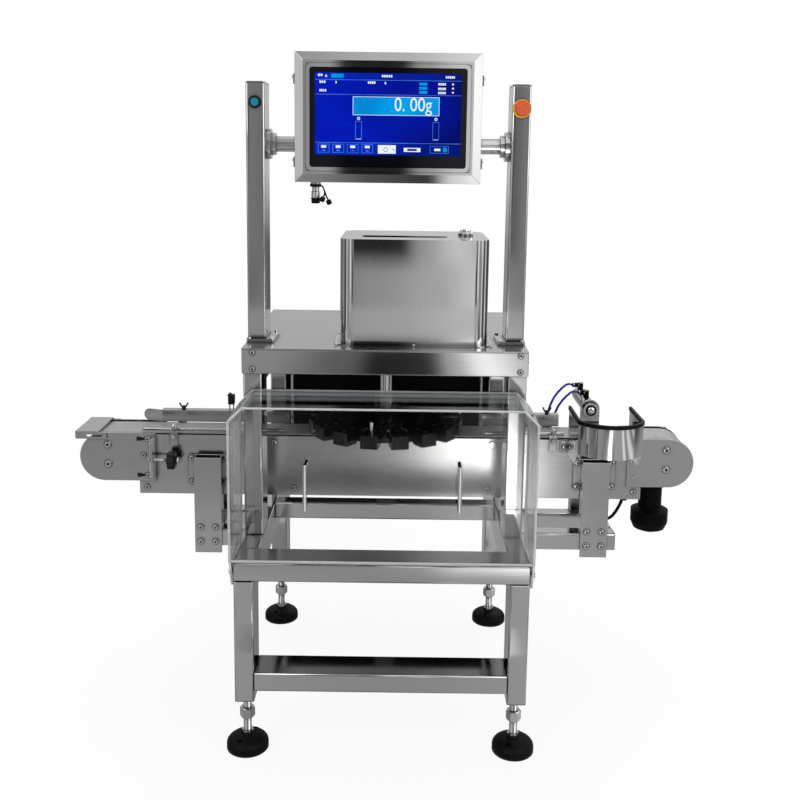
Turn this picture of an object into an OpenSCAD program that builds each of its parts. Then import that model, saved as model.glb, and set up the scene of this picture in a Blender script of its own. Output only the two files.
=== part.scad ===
// Rotary checkweigher: star wheel over a belt conveyor, on a tube frame with a tilting screen.
// Millimetres, +Z up, +X along the belt to the outfeed, origin on the floor under the middle.

/* [Base frame] */
// Outer width of the frame across the legs
frame_w = 600; // [540:10:700]
// Depth of the frame from the front legs to the back of the rear columns
frame_d = 680; // [660:10:760]
// Distance of the frame's front face in front of the origin
front_set = 320; // [280:5:360]
// Narrow side of the frame tubes
tube_w = 40; // [30:1:50]
// Wide side of the frame tubes
tube_d = 80; // [60:1:90]
// Wall of the frame tubes
tube_wall = 2; // [1.5:0.5:4]
// Outer corner radius of the tubes
tube_r = 4; // [3:0.5:6]
// Floor to the underside of the legs
leg_clear = 125; // [100:1:150]
// Floor to the top of the frame rails
rail_top = 426; // [400:1:460]
// Floor to the underside of the low front rail
low_rail_z = 148; // [140:1:200]
// Set-back of the front columns behind the frame's front face
column_set = 154; // [140:1:160]

/* [Feet] */
// Diameter of the foot pads
pad_d = 88; // [70:1:92]
// Height of the straight pad rim
pad_rim_h = 13; // [8:1:18]
// Height of the pad under the stem
pad_h = 30; // [24:1:36]
// Pitch circle of the anchor holes in a pad
anchor_pcd = 56; // [48:1:60]
// Diameter of the anchor holes
anchor_d = 9; // [6:0.5:11]
// Diameter of the levelling stems
stem_d = 16; // [12:1:20]
// Gap between a leg and the lock nut on its stem
nut_gap = 32; // [0:1:36]

/* [Deck] */
// Top of the deck above the floor
deck_top = 837; // [800:1:880]
// Thickness of the deck plate
deck_t = 3; // [2:0.5:5]
// Depth of the apron below the deck plate
apron_h = 51; // [40:1:60]
// Sheet thickness of the aprons and panels
sheet_t = 2; // [1.5:0.5:2.5]
// Front edge of the deck in front of the columns
deck_lead = 4; // [3:1:8]
// Back edge of the deck behind the rear columns
deck_tail = 6; // [4:1:20]

/* [Screen posts] */
// Set-back of the posts behind the frame's front face
post_set = 228; // [200:1:240]
// Top of the posts above the floor
post_top = 1391; // [1340:1:1440]
// Thickness of the post base plates
post_base_t = 8; // [6:1:12]
// Border of the base plates around the posts
post_border = 10; // [6:1:14]
// Height of the push button on the left post
start_z = 1348; // [1320:1:1365]
// Height of the stop button on the right post
stop_z = 1341; // [1320:1:1360]
// Diameter of the stop button head
stop_d = 34; // [30:1:36]
// Travel of the two buttons
press = 4; // [2:0.5:5]

/* [Screen] */
// Width of the screen housing
hmi_w = 390; // [360:1:420]
// Height of the screen housing
hmi_h = 268; // [250:1:290]
// Depth of the screen housing behind the front frame
hmi_d = 78; // [60:1:85]
// Depth of the sloped front frame
bezel_t = 12; // [8:1:16]
// Height of the tilt axis
tilt_z = 1262; // [1240:1:1290]
// Tilt axis above the lower edge of the housing
tilt_rise = 79; // [60:1:130]
// Front of the screen ahead of the tilt axis
hmi_lead = 68; // [60:1:75]
// Diameter of the tilt tubes
tilt_d = 33; // [26:1:40]
// Diameter of the tilt flanges on the posts
tilt_flange_d = 64; // [56:1:74]
// Thickness of the tilt flanges
tilt_flange_t = 20; // [14:1:26]
// Width of the opening in the front frame
view_w = 342; // [320:1:350]
// Height of the opening in the front frame
view_h = 220; // [200:1:226]
// Width of the rounded trim around the glass
trim_w = 8; // [5:1:12]

/* [Drive box] */
// Width of the drive box
drive_w = 319; // [300:1:340]
// Depth of the drive box
drive_d = 257; // [240:1:270]
// Height of the drive box
drive_h = 228; // [200:1:260]
// Corner radius of the drive box
drive_r = 30; // [15:1:40]
// Gap between the flange of the drive box and the right post's base plate
drive_gap = 10.5; // [8:0.5:14]
// Middle of the drive box in front of the shaft
drive_lead = 41.5; // [38:0.5:45]
// Width of the base flange of the drive box
drive_flange = 12; // [8:1:14]

/* [Star wheel] */
// Set-back of the shaft behind the frame's front face
shaft_set = 370; // [360:1:380]
// Diameter of the shaft
shaft_d = 28; // [22:1:34]
// Outer radius of the star wheel
star_r = 178; // [165:1:185]
// Number of pockets
pockets = 16; // [12:1:18]
// Width of the blocks between the pockets
block_w = 39; // [30:1:40]
// Height of the blocks
block_h = 30; // [24:1:40]
// Underside of the blocks above the belt
star_lift = 4; // [3:0.5:8]
// Radius of the disc that carries the blocks
disc_r = 142; // [135:1:148]
// Thickness of the disc
disc_t = 10; // [6:1:12]
// How far the blocks reach in over the disc
block_lap = 24; // [18:1:30]

/* [Conveyor] */
// Distance between the roller axes
belt_span = 1298; // [1280:1:1320]
// Shift of the conveyor's middle to the right
belt_shift = 4; // [0:1:8]
// Radius of the rounded end plates
end_r = 57; // [54:1:60]
// Height of the roller axes
roller_z = 548; // [540:1:552]
// Radius of the rollers
roller_r = 53; // [50:0.5:53]
// Thickness of the belt
belt_t = 1.7; // [1.2:0.1:2.2]
// Width of the belt
belt_w = 90; // [80:1:94]
// Outside width over the two side plates
conv_w = 110; // [106:1:116]
// Thickness of the conveyor plates
plate_t = 4; // [3:0.5:5]
// Top of the side plates
plate_top = 600; // [596:1:600]
// Underside of the side plates
plate_low = 460; // [450:1:470]
// Left end of the side plates
plate_left = -567; // [-580:1:-550]
// Right end of the side plates
plate_right = 592; // [580:1:605]
// Diameter of the roller journals
journal_d = 20; // [15:1:25]
// Middle of the left conveyor leg
leg_left = -404; // [-420:1:-390]
// Middle of the right conveyor leg
leg_right = 482; // [470:1:490]
// Width of the conveyor legs
channel_w = 62; // [50:1:66]
// Side of the square support beams
beam_s = 40; // [30:1:44]
// Diameter of the tension knob
knob_d = 44; // [36:1:50]

/* [Guard] */
// Thickness of the clear guard panels
guard_t = 5; // [4:0.5:6]
// Top of the guard above the floor
guard_top = 750; // [720:1:770]
// Underside of the front guard panel
guard_low = 430; // [428:1:440]
// Chamfer between the top and the sides of the guard
guard_cut = 30; // [15:1:40]
// Gap between the guard and the frame
guard_gap = 3; // [2:0.5:4]
// Depth of the guard's pivot behind the frame's front face
guard_pivot_set = 40; // [34:1:50]
// Length of the guard handles
pull_len = 93; // [80:1:120]
// Diameter of the guard handles
pull_d = 8; // [6:0.5:10]
// Stand-off of the guard handles
pull_out = 34; // [28:1:40]
// Half the distance between the guard handles
pull_x = 151; // [130:1:180]

/* [Reject station] */
// Position of the reject axis along the belt
reject_x = 493; // [490:1:500]
// Inside width of the reject guard
pocket_w = 136; // [130:1:140]
// Height of the reject guard
pocket_h = 73; // [60:1:84]
// Underside of the reject guard
pocket_z = 607; // [600:1:620]
// Front of the reject guard behind the frame's front face
pocket_set = 140; // [130:1:160]
// Bulge of the curved front of the reject guard
pocket_bulge = 45; // [35:1:60]
// Height of the pusher axis
push_z = 640; // [635:1:650]
// Diameter of the pusher pad
push_d = 36; // [30:1:40]
// Diameter of the pusher rod
push_rod_d = 10; // [8:1:12]
// Diameter of the reject cylinder
cyl_d = 34; // [28:1:40]
// Stroke of the pusher
stroke = 80; // [60:1:90]

/* [Hidden] */
$fn = 64;

// Gaps between pieces: a running fit, a loose fit and a hole cut clear through a wall
run = 0.05;
loose = 0.3;
through = 1;

// Colours by material
steel = "silver";
polished = "gainsboro";
black = "dimgray";
rubber = "darkslategray";
clear = [0.8, 0.9, 1, 0.35];

// Frame places that follow from the sizes above
front_y = -front_set;
back_y = front_y + frame_d;
half_w = frame_w / 2;
leg_x = half_w - tube_w / 2;
rear_y = back_y - tube_d;
column_y = front_y + column_set;
deck_low = deck_top - deck_t;
deck_half = half_w + sheet_t;
deck_front = column_y - deck_lead;
deck_back = back_y + deck_tail;
rail_low = rail_top - tube_w;
side_low = rail_top - tube_d;
inner_w = frame_w - 2 * tube_w;
plug_t = 8;

// Shaft, screen and drive box places
shaft_y = front_y + shaft_set;
cross_y = shaft_y - 10;
post_y = front_y + post_set;
tilt_y = post_y + tube_d / 2;
post_foot = deck_top + post_base_t;
post_cap_t = 3;
hmi_low = tilt_z - tilt_rise;
hmi_mid = hmi_low + hmi_h / 2;
hmi_front = tilt_y - hmi_lead;
hmi_wall = 2;
base_in = leg_x + sheet_t - 2 * post_border - tube_w / 2;
drive_off = base_in - drive_gap - drive_flange - drive_w / 2;
drive_y = shaft_y - drive_lead;
lid_w = 185;
lid_d = 120;
lid_off = [22, 15];
breather_off = [115, 10];

// Star wheel levels
belt_top = roller_z + roller_r + loose + belt_t;
star_z = belt_top + star_lift;
disc_z = star_z + 5;

// Conveyor places
conv_y = shaft_y;
conv_front = conv_y - conv_w / 2;
conv_back = conv_y + conv_w / 2;
tail_x = belt_shift - belt_span / 2;
head_x = belt_shift + belt_span / 2;
beam_y = [conv_front + plate_t - 33, conv_back - plate_t + 33 - beam_s];
bearing_t = 9;
bed_t = 3;
bed_top = roller_z + roller_r;
spacer_d = 16;
pan_w = 60;
pan_d = 50;
pan_y = shaft_y + disc_r + 6;
cell_top = 570;
leg_top = 556;
leg_pad_w = 96;
leg_pad_h = 72;
leg_sheet = 3;
beam_tail = 50;
cable_d = 8;
air_d = 6;
beam_z = side_low;
guide_z = belt_top + 3;
guide_h = 28;
guide_t = 3;
guide_y = conv_y + belt_w / 2 - 6;
guide_left = -535;
guide_right = 412;
guide_in = half_w - 70;
guide_clamps = [-485, -320, 320, 385];
guide_posts = [-490, -330, 330, 385];
spacer_x = [-510, -300, -100, 100, 300, 540];
tail_plate_right = -527;
knob_x = -486;
knob_y = conv_front - 26;
knob_rod_d = 10;
head_plate_left = 558;
gear_w = 76;
gear_d = 64;
motor_cowl_d = 90;
motor_cowl_h = 52;
motor_h = 172;
terminal_w = 24;
terminal_x = head_x - 64;
terminal_low = roller_z - gear_w / 2 - 64;

// Guard places
guard_front = front_y - guard_gap - guard_t;
guard_back = column_y - guard_gap;
guard_half = half_w + guard_gap + guard_t;
pivot_y = front_y + guard_pivot_set;
pivot_z = rail_low + 8;
screw_d = 8;
pull_z = 600;

// Reject station places
pocket_t = 2;
pocket_y = front_y + pocket_set;
pocket_x = reject_x - 4;
pocket_back = conv_front - plate_t;
ear_low = pocket_z - 35;
ear_slope = 37;
pad_y = conv_back + 8;
push_t = 8;
cyl_len = 160;
port_y = [pad_y + 70, pad_y + 150];
bulkhead_z = rail_top - 28;
port_t = 14;
port_reach = 20;
port_rise = 11;

// Rectangle with round corners, centred
module round_rect(w, h, r) {
    square([w - 2 * r, h], center = true);
    square([w, h - 2 * r], center = true);
    for (sx = [-1, 1], sy = [-1, 1])
        translate([sx * (w / 2 - r), sy * (h / 2 - r)])
            circle(r, $fn = 32);
}

// Section of a frame tube, open inside
module tube_2d(w, h) {
    difference() {
        round_rect(w, h, tube_r);
        round_rect(w - 2 * tube_wall, h - 2 * tube_wall, tube_r - tube_wall / 2);
    }
}

// Tubes along the three axes, given by their lowest corner, section and length
module tube_z(x, y, z, w, d, len) {
    translate([x + w / 2, y + d / 2, z])
        linear_extrude(len)
            tube_2d(w, d);
}

module tube_x(x, y, z, d, h, len) {
    translate([x, y + d / 2, z + h / 2])
        rotate([90, 0, 90])
            linear_extrude(len)
                tube_2d(d, h);
}

module tube_y(x, y, z, w, h, len) {
    translate([x + w / 2, y, z + h / 2])
        rotate([-90, 0, 0])
            linear_extrude(len)
                tube_2d(w, h);
}

// Block from its lowest corner to its highest corner
module block(low, high) {
    translate(low)
        cube(high - low);
}

// Cylinder along Y from y0 to y1
module rod_y(x, y0, y1, z, d) {
    translate([x, y0, z])
        rotate([-90, 0, 0])
            cylinder(d = d, h = y1 - y0);
}

// Cylinder along X from x0 to x1
module rod_x(x0, x1, y, z, d) {
    translate([x0, y, z])
        rotate([0, 90, 0])
            cylinder(d = d, h = x1 - x0);
}

// Places the children on the left and, mirrored, on the right
module both_sides() {
    children();
    mirror([1, 0, 0]) children();
}

// Places the children on the front and, mirrored, on the back of the conveyor
module both_faces() {
    children();
    translate([0, 2 * conv_y, 0])
        mirror([0, 1, 0])
            children();
}

// Places the children at the four feet
module at_feet() {
    for (sx = [-1, 1], y = [front_y + tube_d / 2, back_y - tube_d / 2])
        translate([sx * leg_x, y, 0])
            children();
}

// Base frame
module front_legs() {
    color(steel)
        both_sides()
            tube_z(leg_x - tube_w / 2, front_y, leg_clear, tube_w, tube_d, rail_low - leg_clear);
}

module rear_columns() {
    color(steel)
        both_sides()
            tube_z(leg_x - tube_w / 2, rear_y, leg_clear, tube_w, tube_d, deck_low - leg_clear);
}

module front_rails() {
    color(steel) {
        tube_x(-half_w, front_y, rail_low, tube_d, tube_w, frame_w);
        tube_x(-inner_w / 2, front_y, low_rail_z, tube_d, tube_w, inner_w);
    }
}

module side_rails() {
    color(steel)
        both_sides()
            tube_y(leg_x - tube_w / 2, front_y + tube_d, side_low, tube_w, tube_d, frame_d - 2 * tube_d);
}

module cross_rails() {
    color(steel) {
        tube_x(-inner_w / 2, cross_y, rail_low, tube_w, tube_w, inner_w);
        tube_x(-inner_w / 2, rear_y, rail_low, tube_d, tube_w, inner_w);
        tube_x(-inner_w / 2, rear_y, leg_clear, tube_d, tube_w, inner_w);
    }
}

module front_columns() {
    color(steel)
        both_sides()
            tube_z(leg_x - tube_w / 2, column_y, rail_top, tube_w, tube_d, deck_low - rail_top);
}

// Plugs in the open tube ends: threaded for the feet below, and for the guard screws at the sides
module tube_plugs() {
    plug_w = tube_w - 2 * tube_wall - loose;
    plug_d = tube_d - 2 * tube_wall - loose;
    color(black) {
        at_feet()
            translate([0, 0, leg_clear])
                linear_extrude(plug_t)
                    difference() {
                        round_rect(plug_w, plug_d, tube_r - tube_wall / 2);
                        circle(d = stem_d + 2 * run);
                    }
        both_sides()
            difference() {
                translate([half_w - plug_t, front_y + tube_d / 2, rail_low + tube_w / 2])
                    rotate([90, 0, 90])
                        linear_extrude(plug_t)
                            round_rect(plug_d, plug_w, tube_r - tube_wall / 2);
                rod_x(half_w - plug_t - through, half_w + through, pivot_y, pivot_z, screw_d + 2 * run);
            }
    }
}

// Feet
module foot_pads() {
    seat_r = stem_d;
    boss_h = pad_h - 5;
    dome = [for (a = [0 : 15 : 90]) [
        seat_r + (pad_d / 2 - seat_r) * cos(a),
        pad_rim_h + (pad_h - pad_rim_h) * sin(a)]];
    color(rubber)
        at_feet()
            difference() {
                union() {
                    rotate_extrude()
                        polygon(concat([[0, 0], [pad_d / 2 - 2, 0], [pad_d / 2, 2]], dome, [[0, pad_h]]));
                    for (a = [65, 245])
                        rotate(a)
                            translate([anchor_pcd / 2, 0, 0])
                                cylinder(d = 2 * anchor_d, h = boss_h);
                }
                for (a = [65, 245])
                    rotate(a)
                        translate([anchor_pcd / 2, 0, -through])
                            cylinder(d = anchor_d, h = pad_h + 2 * through);
            }
}

module foot_stems() {
    collar_h = 12;
    color(polished)
        at_feet() {
            translate([0, 0, pad_h])
                cylinder(d = 1.6 * stem_d, h = collar_h, $fn = 6);
            translate([0, 0, pad_h + collar_h])
                cylinder(d = stem_d, h = leg_clear + plug_t - pad_h - collar_h);
        }
}

// Lock nuts under the legs, chamfered top and bottom
module foot_nuts() {
    nut_r = stem_d;
    nut_h = 1.4 * stem_d;
    edge = 3;
    color(polished)
        at_feet()
            translate([0, 0, leg_clear - nut_gap - nut_h])
                difference() {
                    intersection() {
                        cylinder(r = nut_r, h = nut_h, $fn = 6);
                        rotate_extrude()
                            polygon([[0, 0], [nut_r - edge, 0], [nut_r, edge], [nut_r, nut_h - edge],
                                [nut_r - edge, nut_h], [0, nut_h]]);
                    }
                    translate([0, 0, -through])
                        cylinder(d = stem_d + 2 * run, h = nut_h + 2 * through);
                }
}

// Deck
module deck_plate() {
    color(steel)
        difference() {
            block([-deck_half, deck_front, deck_low], [deck_half, deck_back, deck_top]);
            translate([0, shaft_y, deck_low - through])
                cylinder(d = shaft_d + 4, h = deck_t + 2 * through);
        }
}

module deck_aprons() {
    low = deck_low - apron_h;
    color(polished) {
        block([-deck_half, deck_front, low], [deck_half, deck_front + sheet_t, deck_low]);
        block([-deck_half, deck_back - sheet_t, low], [deck_half, deck_back, deck_low]);
        both_sides()
            block([half_w, deck_front + sheet_t + run, low], [deck_half, deck_back - sheet_t - run, deck_low]);
    }
}

// Back panel between the rear columns, and side panels above the belt
module body_panels() {
    low = belt_top + 90;
    color(black) {
        block([-inner_w / 2, back_y - 4, rail_top], [inner_w / 2, back_y - 4 + sheet_t, deck_low]);
        both_sides()
            block([half_w - sheet_t, column_y + tube_d, low], [half_w, rear_y, deck_low]);
    }
}

// Screen posts, with holes for the two buttons
module screen_posts() {
    color(steel)
        difference() {
            both_sides()
                tube_z(leg_x - tube_w / 2, post_y, post_foot, tube_w, tube_d, post_top - post_cap_t - post_foot);
            for (hole = [[-leg_x, start_z], [leg_x, stop_z]])
                rod_y(hole[0], post_y - through, post_y + tube_wall + through, hole[1], barrel_d + 2 * run);
        }
}

// Cap plate on top of each post and base plate under it
module post_plates() {
    color(steel)
        both_sides() {
            translate([leg_x, tilt_y, post_top - post_cap_t])
                linear_extrude(post_cap_t)
                    round_rect(tube_w, tube_d, tube_r);
            translate([leg_x + sheet_t - post_border, tilt_y, deck_top])
                linear_extrude(post_base_t)
                    round_rect(tube_w + 2 * post_border, tube_d + 2 * post_border, tube_r);
        }
}

// Flanges on the posts that carry the screen's tilt tubes
module tilt_flanges() {
    post_in = half_w - tube_w;
    rim_t = tilt_flange_t / 2;
    color(polished)
        both_sides()
            difference() {
                union() {
                    rod_x(post_in - rim_t, post_in, tilt_y, tilt_z, tilt_flange_d);
                    rod_x(post_in - tilt_flange_t, post_in - rim_t, tilt_y, tilt_z, tilt_d + 14);
                }
                rod_x(post_in - tilt_flange_t - through, post_in + through, tilt_y, tilt_z, tilt_d + 2 * run);
            }
}

// Push button and stop button
barrel_d = 22;
collar_t = 4;
button_d = 17;
stop_neck_d = 15;

module start_collar() {
    color(polished)
        difference() {
            union() {
                rod_y(-leg_x, post_y - collar_t, post_y, start_z, barrel_d + 4);
                rod_y(-leg_x, post_y, post_y + 40, start_z, barrel_d);
            }
            rod_y(-leg_x, post_y - collar_t - through, post_y + 12, start_z, button_d + 2 * loose);
        }
}

module start_button() {
    color("seagreen")
        rod_y(-leg_x, post_y - collar_t - 1.5, post_y + 12 - press - through, start_z, button_d);
}

module stop_collar() {
    color("gold")
        difference() {
            union() {
                rod_y(leg_x, post_y - collar_t, post_y, stop_z, stop_d + 5);
                rod_y(leg_x, post_y, post_y + 40, stop_z, barrel_d);
            }
            rod_y(leg_x, post_y - collar_t - through, post_y + 16, stop_z, stop_neck_d + 2 * loose);
        }
}

// Mushroom head on its neck, turned about the button's axis
module stop_button() {
    head_h = 14;
    gap = press + 2;
    r = stop_d / 2;
    neck = stop_neck_d / 2;
    back = -collar_t - gap;
    edge = 5;
    profile = concat(
        [[0, 16 - press - through], [neck, 16 - press - through], [neck, back], [r - 2, back], [r, back - 2]],
        [for (a = [0 : 15 : 90]) [r - edge + edge * cos(a), back - head_h + edge - edge * sin(a)]],
        [[0, back - head_h]]);
    color("orangered")
        translate([leg_x, post_y, stop_z])
            rotate([-90, 0, 0])
                rotate_extrude()
                    polygon(profile);
}

// Screen, tilting about the tubes between the posts
// Sheet housing, open at the front, with the tilt tubes welded to its sides
module screen_housing() {
    front = hmi_front + bezel_t;
    color(steel) {
        difference() {
            block([-hmi_w / 2, front, hmi_low], [hmi_w / 2, front + hmi_d, hmi_low + hmi_h]);
            block([-hmi_w / 2 + hmi_wall, front - through, hmi_low + hmi_wall],
                [hmi_w / 2 - hmi_wall, front + hmi_d - hmi_wall, hmi_low + hmi_h - hmi_wall]);
        }
        both_sides()
            difference() {
                rod_x(hmi_w / 2 + run, half_w - tube_w - 2, tilt_y, tilt_z, tilt_d);
                rod_x(hmi_w / 2 + through, half_w - tube_w, tilt_y, tilt_z, tilt_d - 6);
            }
    }
}

// Front frame whose faces slope from the outer edge up to the opening
module screen_bezel() {
    lip = 2;
    slope = bezel_t - lip;
    color(polished)
        translate([0, hmi_front, hmi_mid])
            rotate([-90, 0, 0])
                difference() {
                    union() {
                        translate([0, 0, slope])
                            linear_extrude(lip)
                                square([hmi_w, hmi_h], center = true);
                        translate([0, 0, slope])
                            mirror([0, 0, 1])
                                linear_extrude(slope, scale = [(view_w + 12) / hmi_w, (view_h + 12) / hmi_h])
                                    square([hmi_w, hmi_h], center = true);
                    }
                    translate([-view_w / 2, -view_h / 2, -through])
                        cube([view_w, view_h, bezel_t + 2 * through]);
                }
}

module screen_trim() {
    depth = bezel_t + 2;
    color(polished)
        translate([0, hmi_front - 2, hmi_mid])
            rotate([-90, 0, 0])
                linear_extrude(depth)
                    difference() {
                        round_rect(view_w - loose, view_h - loose, 12);
                        round_rect(view_w - 2 * trim_w, view_h - 2 * trim_w, 6);
                    }
}

module screen_glass() {
    color("midnightblue")
        translate([0, hmi_front + 2, hmi_mid])
            rotate([-90, 0, 0])
                linear_extrude(bezel_t - 2)
                    round_rect(view_w - 2 * trim_w - loose, view_h - 2 * trim_w - loose, 6);
}

// Computer and its chassis plate behind the glass
module screen_computer() {
    front = hmi_front + bezel_t;
    color(black) {
        translate([0, front, hmi_mid])
            rotate([-90, 0, 0])
                linear_extrude(4)
                    square([hmi_w - 2 * hmi_wall - 2, hmi_h - 2 * hmi_wall - 2], center = true);
        block([-120, front + 4, hmi_mid - 70], [120, front + hmi_d - 20, hmi_mid + 70]);
    }
}

// Round cable plug under the screen, turned about its own axis
module screen_plug() {
    color(polished)
        translate([-155, tilt_y - 10, hmi_low])
            mirror([0, 0, 1])
                rotate_extrude()
                    polygon([[0, 0], [11, 0], [11, 6], [8, 8], [8, 20], [9.5, 21], [9.5, 36], [7, 40], [7, 46],
                        [0, 46]]);
}

// Drive box on the deck, open below
module drive_housing() {
    wall = 2;
    color(polished)
        translate([drive_off, drive_y, deck_top]) {
            difference() {
                union() {
                    linear_extrude(drive_h)
                        round_rect(drive_w, drive_d, drive_r);
                    linear_extrude(wall)
                        round_rect(drive_w + 2 * drive_flange, drive_d + 2 * drive_flange, drive_r + drive_flange);
                }
                translate([0, 0, -through])
                    linear_extrude(drive_h - wall + through)
                        round_rect(drive_w - 2 * wall, drive_d - 2 * wall, drive_r - wall);
            }
        }
}

// Cover plate and breather on top of the drive box
module drive_top() {
    top = deck_top + drive_h;
    color(steel) {
        translate([drive_off - lid_off[0], drive_y + lid_off[1], top])
            linear_extrude(sheet_t)
                round_rect(lid_w, lid_d, tube_r);
        translate([drive_off + breather_off[0], drive_y + breather_off[1], top])
            rotate_extrude()
                polygon([[0, 0], [17, 0], [17, 5], [14, 8], [12, 12], [6, 14], [0, 14]]);
    }
}

// Hollow-shaft gearbox and motor inside the drive box
module drive_gearmotor() {
    box_w = 116;
    box_h = 92;
    motor_d = 86;
    flange_end = box_w / 2 + 12;
    motor_end = drive_off + drive_w / 2 - 19.5;
    color(black)
        difference() {
            union() {
                translate([0, shaft_y, deck_top])
                    linear_extrude(box_h)
                        round_rect(box_w, box_w, 10);
                rod_x(box_w / 2, flange_end, shaft_y, deck_top + box_h / 2, motor_d);
                rod_x(flange_end, motor_end, shaft_y, deck_top + box_h / 2, motor_d - 6);
            }
            translate([0, shaft_y, deck_top - through])
                cylinder(d = shaft_d + 2 * run, h = box_h + 2 * through);
        }
}

// Bearing under the deck that steadies the shaft
module shaft_bearing() {
    flange_t = 10;
    hub_h = 40;
    color(steel)
        translate([0, shaft_y, deck_low])
            mirror([0, 0, 1])
                difference() {
                    union() {
                        cylinder(d = 3.4 * shaft_d, h = flange_t);
                        cylinder(d = 2 * shaft_d, h = hub_h);
                    }
                    translate([0, 0, -through])
                        cylinder(d = shaft_d + 2 * run, h = hub_h + 2 * through);
                }
}

// Star wheel
module star_shaft() {
    color(polished)
        translate([0, shaft_y, disc_z])
            cylinder(d = shaft_d, h = deck_top + 86 - disc_z);
}

module star_disc() {
    color(black)
        translate([0, shaft_y, disc_z])
            difference() {
                cylinder(r = disc_r, h = disc_t);
                translate([0, 0, -through])
                    cylinder(d = shaft_d + 2 * run, h = disc_t + 2 * through);
                for (i = [0 : 5])
                    rotate(60 * i)
                        translate([disc_r / 2 + 10, 0, -through])
                            cylinder(d = 36, h = disc_t + 2 * through);
            }
}

// One block, stepped to sit on the rim of the disc, with bevelled outer corners
module star_block() {
    low = star_z - disc_z;
    bevel = 4;
    half = block_w / 2;
    difference() {
        translate([0, 0, low])
            linear_extrude(block_h)
                polygon([[disc_r - block_lap, -half + bevel], [disc_r - block_lap, half - bevel],
                    [disc_r - block_lap + bevel, half], [star_r - 1, half], [star_r, half - 1],
                    [star_r, -half + 1], [star_r - 1, -half], [disc_r - block_lap + bevel, -half]]);
        translate([0, 0, low - through])
            cylinder(r = disc_r + run, h = disc_t - low + through);
    }
}

module star_blocks() {
    step = 360 / pockets;
    color(black)
        translate([0, shaft_y, disc_z])
            for (i = [0 : pockets - 1])
                rotate(step * (i + 0.5) - 90)
                    star_block();
}

// Clamp hub on the disc, and the upright pin on one block
module star_hub() {
    step = 360 / pockets;
    hub_h = 34;
    color(black)
        translate([0, shaft_y, disc_z + disc_t]) {
            difference() {
                union() {
                    cylinder(d = 3.2 * shaft_d, h = 10);
                    cylinder(d = 2 * shaft_d, h = hub_h);
                }
                translate([0, 0, -through])
                    cylinder(d = shaft_d + 2 * run, h = hub_h + 2 * through);
            }
            rotate(-90 - step / 2)
                translate([disc_r + 8, 0, star_z + block_h - disc_z - disc_t])
                    cylinder(d = 6, h = 24);
        }
}

// Table behind the belt that bottles slide over, hung from the deck, with the rail around the wheel
module transfer_table() {
    rail_in = star_r + 3;
    rail_out = rail_in + 8;
    low = conv_back - plate_t;
    high = shaft_y + rail_out + 4;
    half = rail_out + 55;
    color(steel) {
        difference() {
            block([-half, low, plate_top], [half, high, plate_top + bed_t]);
            block([-pan_w / 2 - 2, pan_y - pan_d / 2 - 2, plate_top - through],
                [pan_w / 2 + 2, pan_y + pan_d / 2 + 2, plate_top + bed_t + through]);
        }
        intersection() {
            translate([0, shaft_y, plate_top + bed_t])
                difference() {
                    cylinder(r = rail_out, h = block_h, $fn = 96);
                    translate([0, 0, -through])
                        cylinder(r = rail_in, h = block_h + 2 * through, $fn = 96);
                }
            block([-half, low + 10, plate_top], [half, high, deck_low]);
        }
        both_sides()
            translate([half - 14, conv_back + 50, plate_top + bed_t])
                cylinder(d = 8, h = deck_low - plate_top - bed_t);
    }
}

// Weigh pan let into the table under the pocket path, on a stem
module weigh_pan() {
    color(steel) {
        block([-pan_w / 2, pan_y - pan_d / 2, plate_top], [pan_w / 2, pan_y + pan_d / 2, plate_top + bed_t]);
        translate([0, pan_y, cell_top])
            cylinder(d = 20, h = plate_top - cell_top);
    }
}

// Beam load cell with its double cut-out, on a pillar that stands on the rear rail
module load_cell() {
    end = rear_y + 45;
    start = pan_y - 20;
    mid = (pan_y + rear_y) / 2;
    color("lightgray") {
        difference() {
            block([-18, start, cell_top - 30], [18, end, cell_top]);
            for (y = [mid - 14, mid + 14])
                rod_x(-18 - through, 18 + through, y, cell_top - 15, 22);
            block([-18 - through, mid - 14, cell_top - 20], [18 + through, mid + 14, cell_top - 10]);
        }
        block([-25, rear_y + 5, rail_top], [25, end, cell_top - 30 - run]);
    }
}

// Conveyor plates, one on each face
module side_plates() {
    color(steel)
        both_faces()
            block([plate_left, conv_front, plate_low], [plate_right, conv_front + plate_t, plate_top]);
}

// Rounded end plate in the XZ plane, from the roller axis to a straight inner end
module end_plate_2d(axis_x, inner_x) {
    square_x = min(axis_x, inner_x);
    translate([square_x, roller_z - end_r])
        square([abs(inner_x - axis_x), 2 * end_r]);
    translate([axis_x, roller_z])
        circle(r = end_r, $fn = 96);
}

module end_plate_pair(axis_x, inner_x) {
    both_faces()
        translate([0, conv_front, 0])
            rotate([90, 0, 0])
                linear_extrude(plate_t)
                    end_plate_2d(axis_x, inner_x);
}

// Tail plates with slots for the take-up and a lug for its screw, and head plates
module end_plates() {
    slot_z = end_r - 14;
    color(steel) {
        difference() {
            end_plate_pair(tail_x, tail_plate_right);
            for (z = [roller_z - slot_z, roller_z + slot_z])
                block([tail_plate_right - 42, conv_front - plate_t - through, z - 3],
                    [tail_plate_right - 8, conv_back + plate_t + through, z + 3]);
        }
        difference() {
            block([tail_plate_right - plate_t, knob_y - 12, roller_z - end_r + 6],
                [tail_plate_right, conv_front - plate_t - run, roller_z + end_r - 6]);
            rod_x(tail_plate_right - plate_t - through, tail_plate_right + through, knob_y, roller_z,
                knob_rod_d + 2 * run);
        }
        difference() {
            end_plate_pair(head_x, head_plate_left);
            rod_y(head_x, conv_back - through, conv_back + plate_t + through, roller_z, journal_d + 4);
        }
    }
}

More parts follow.
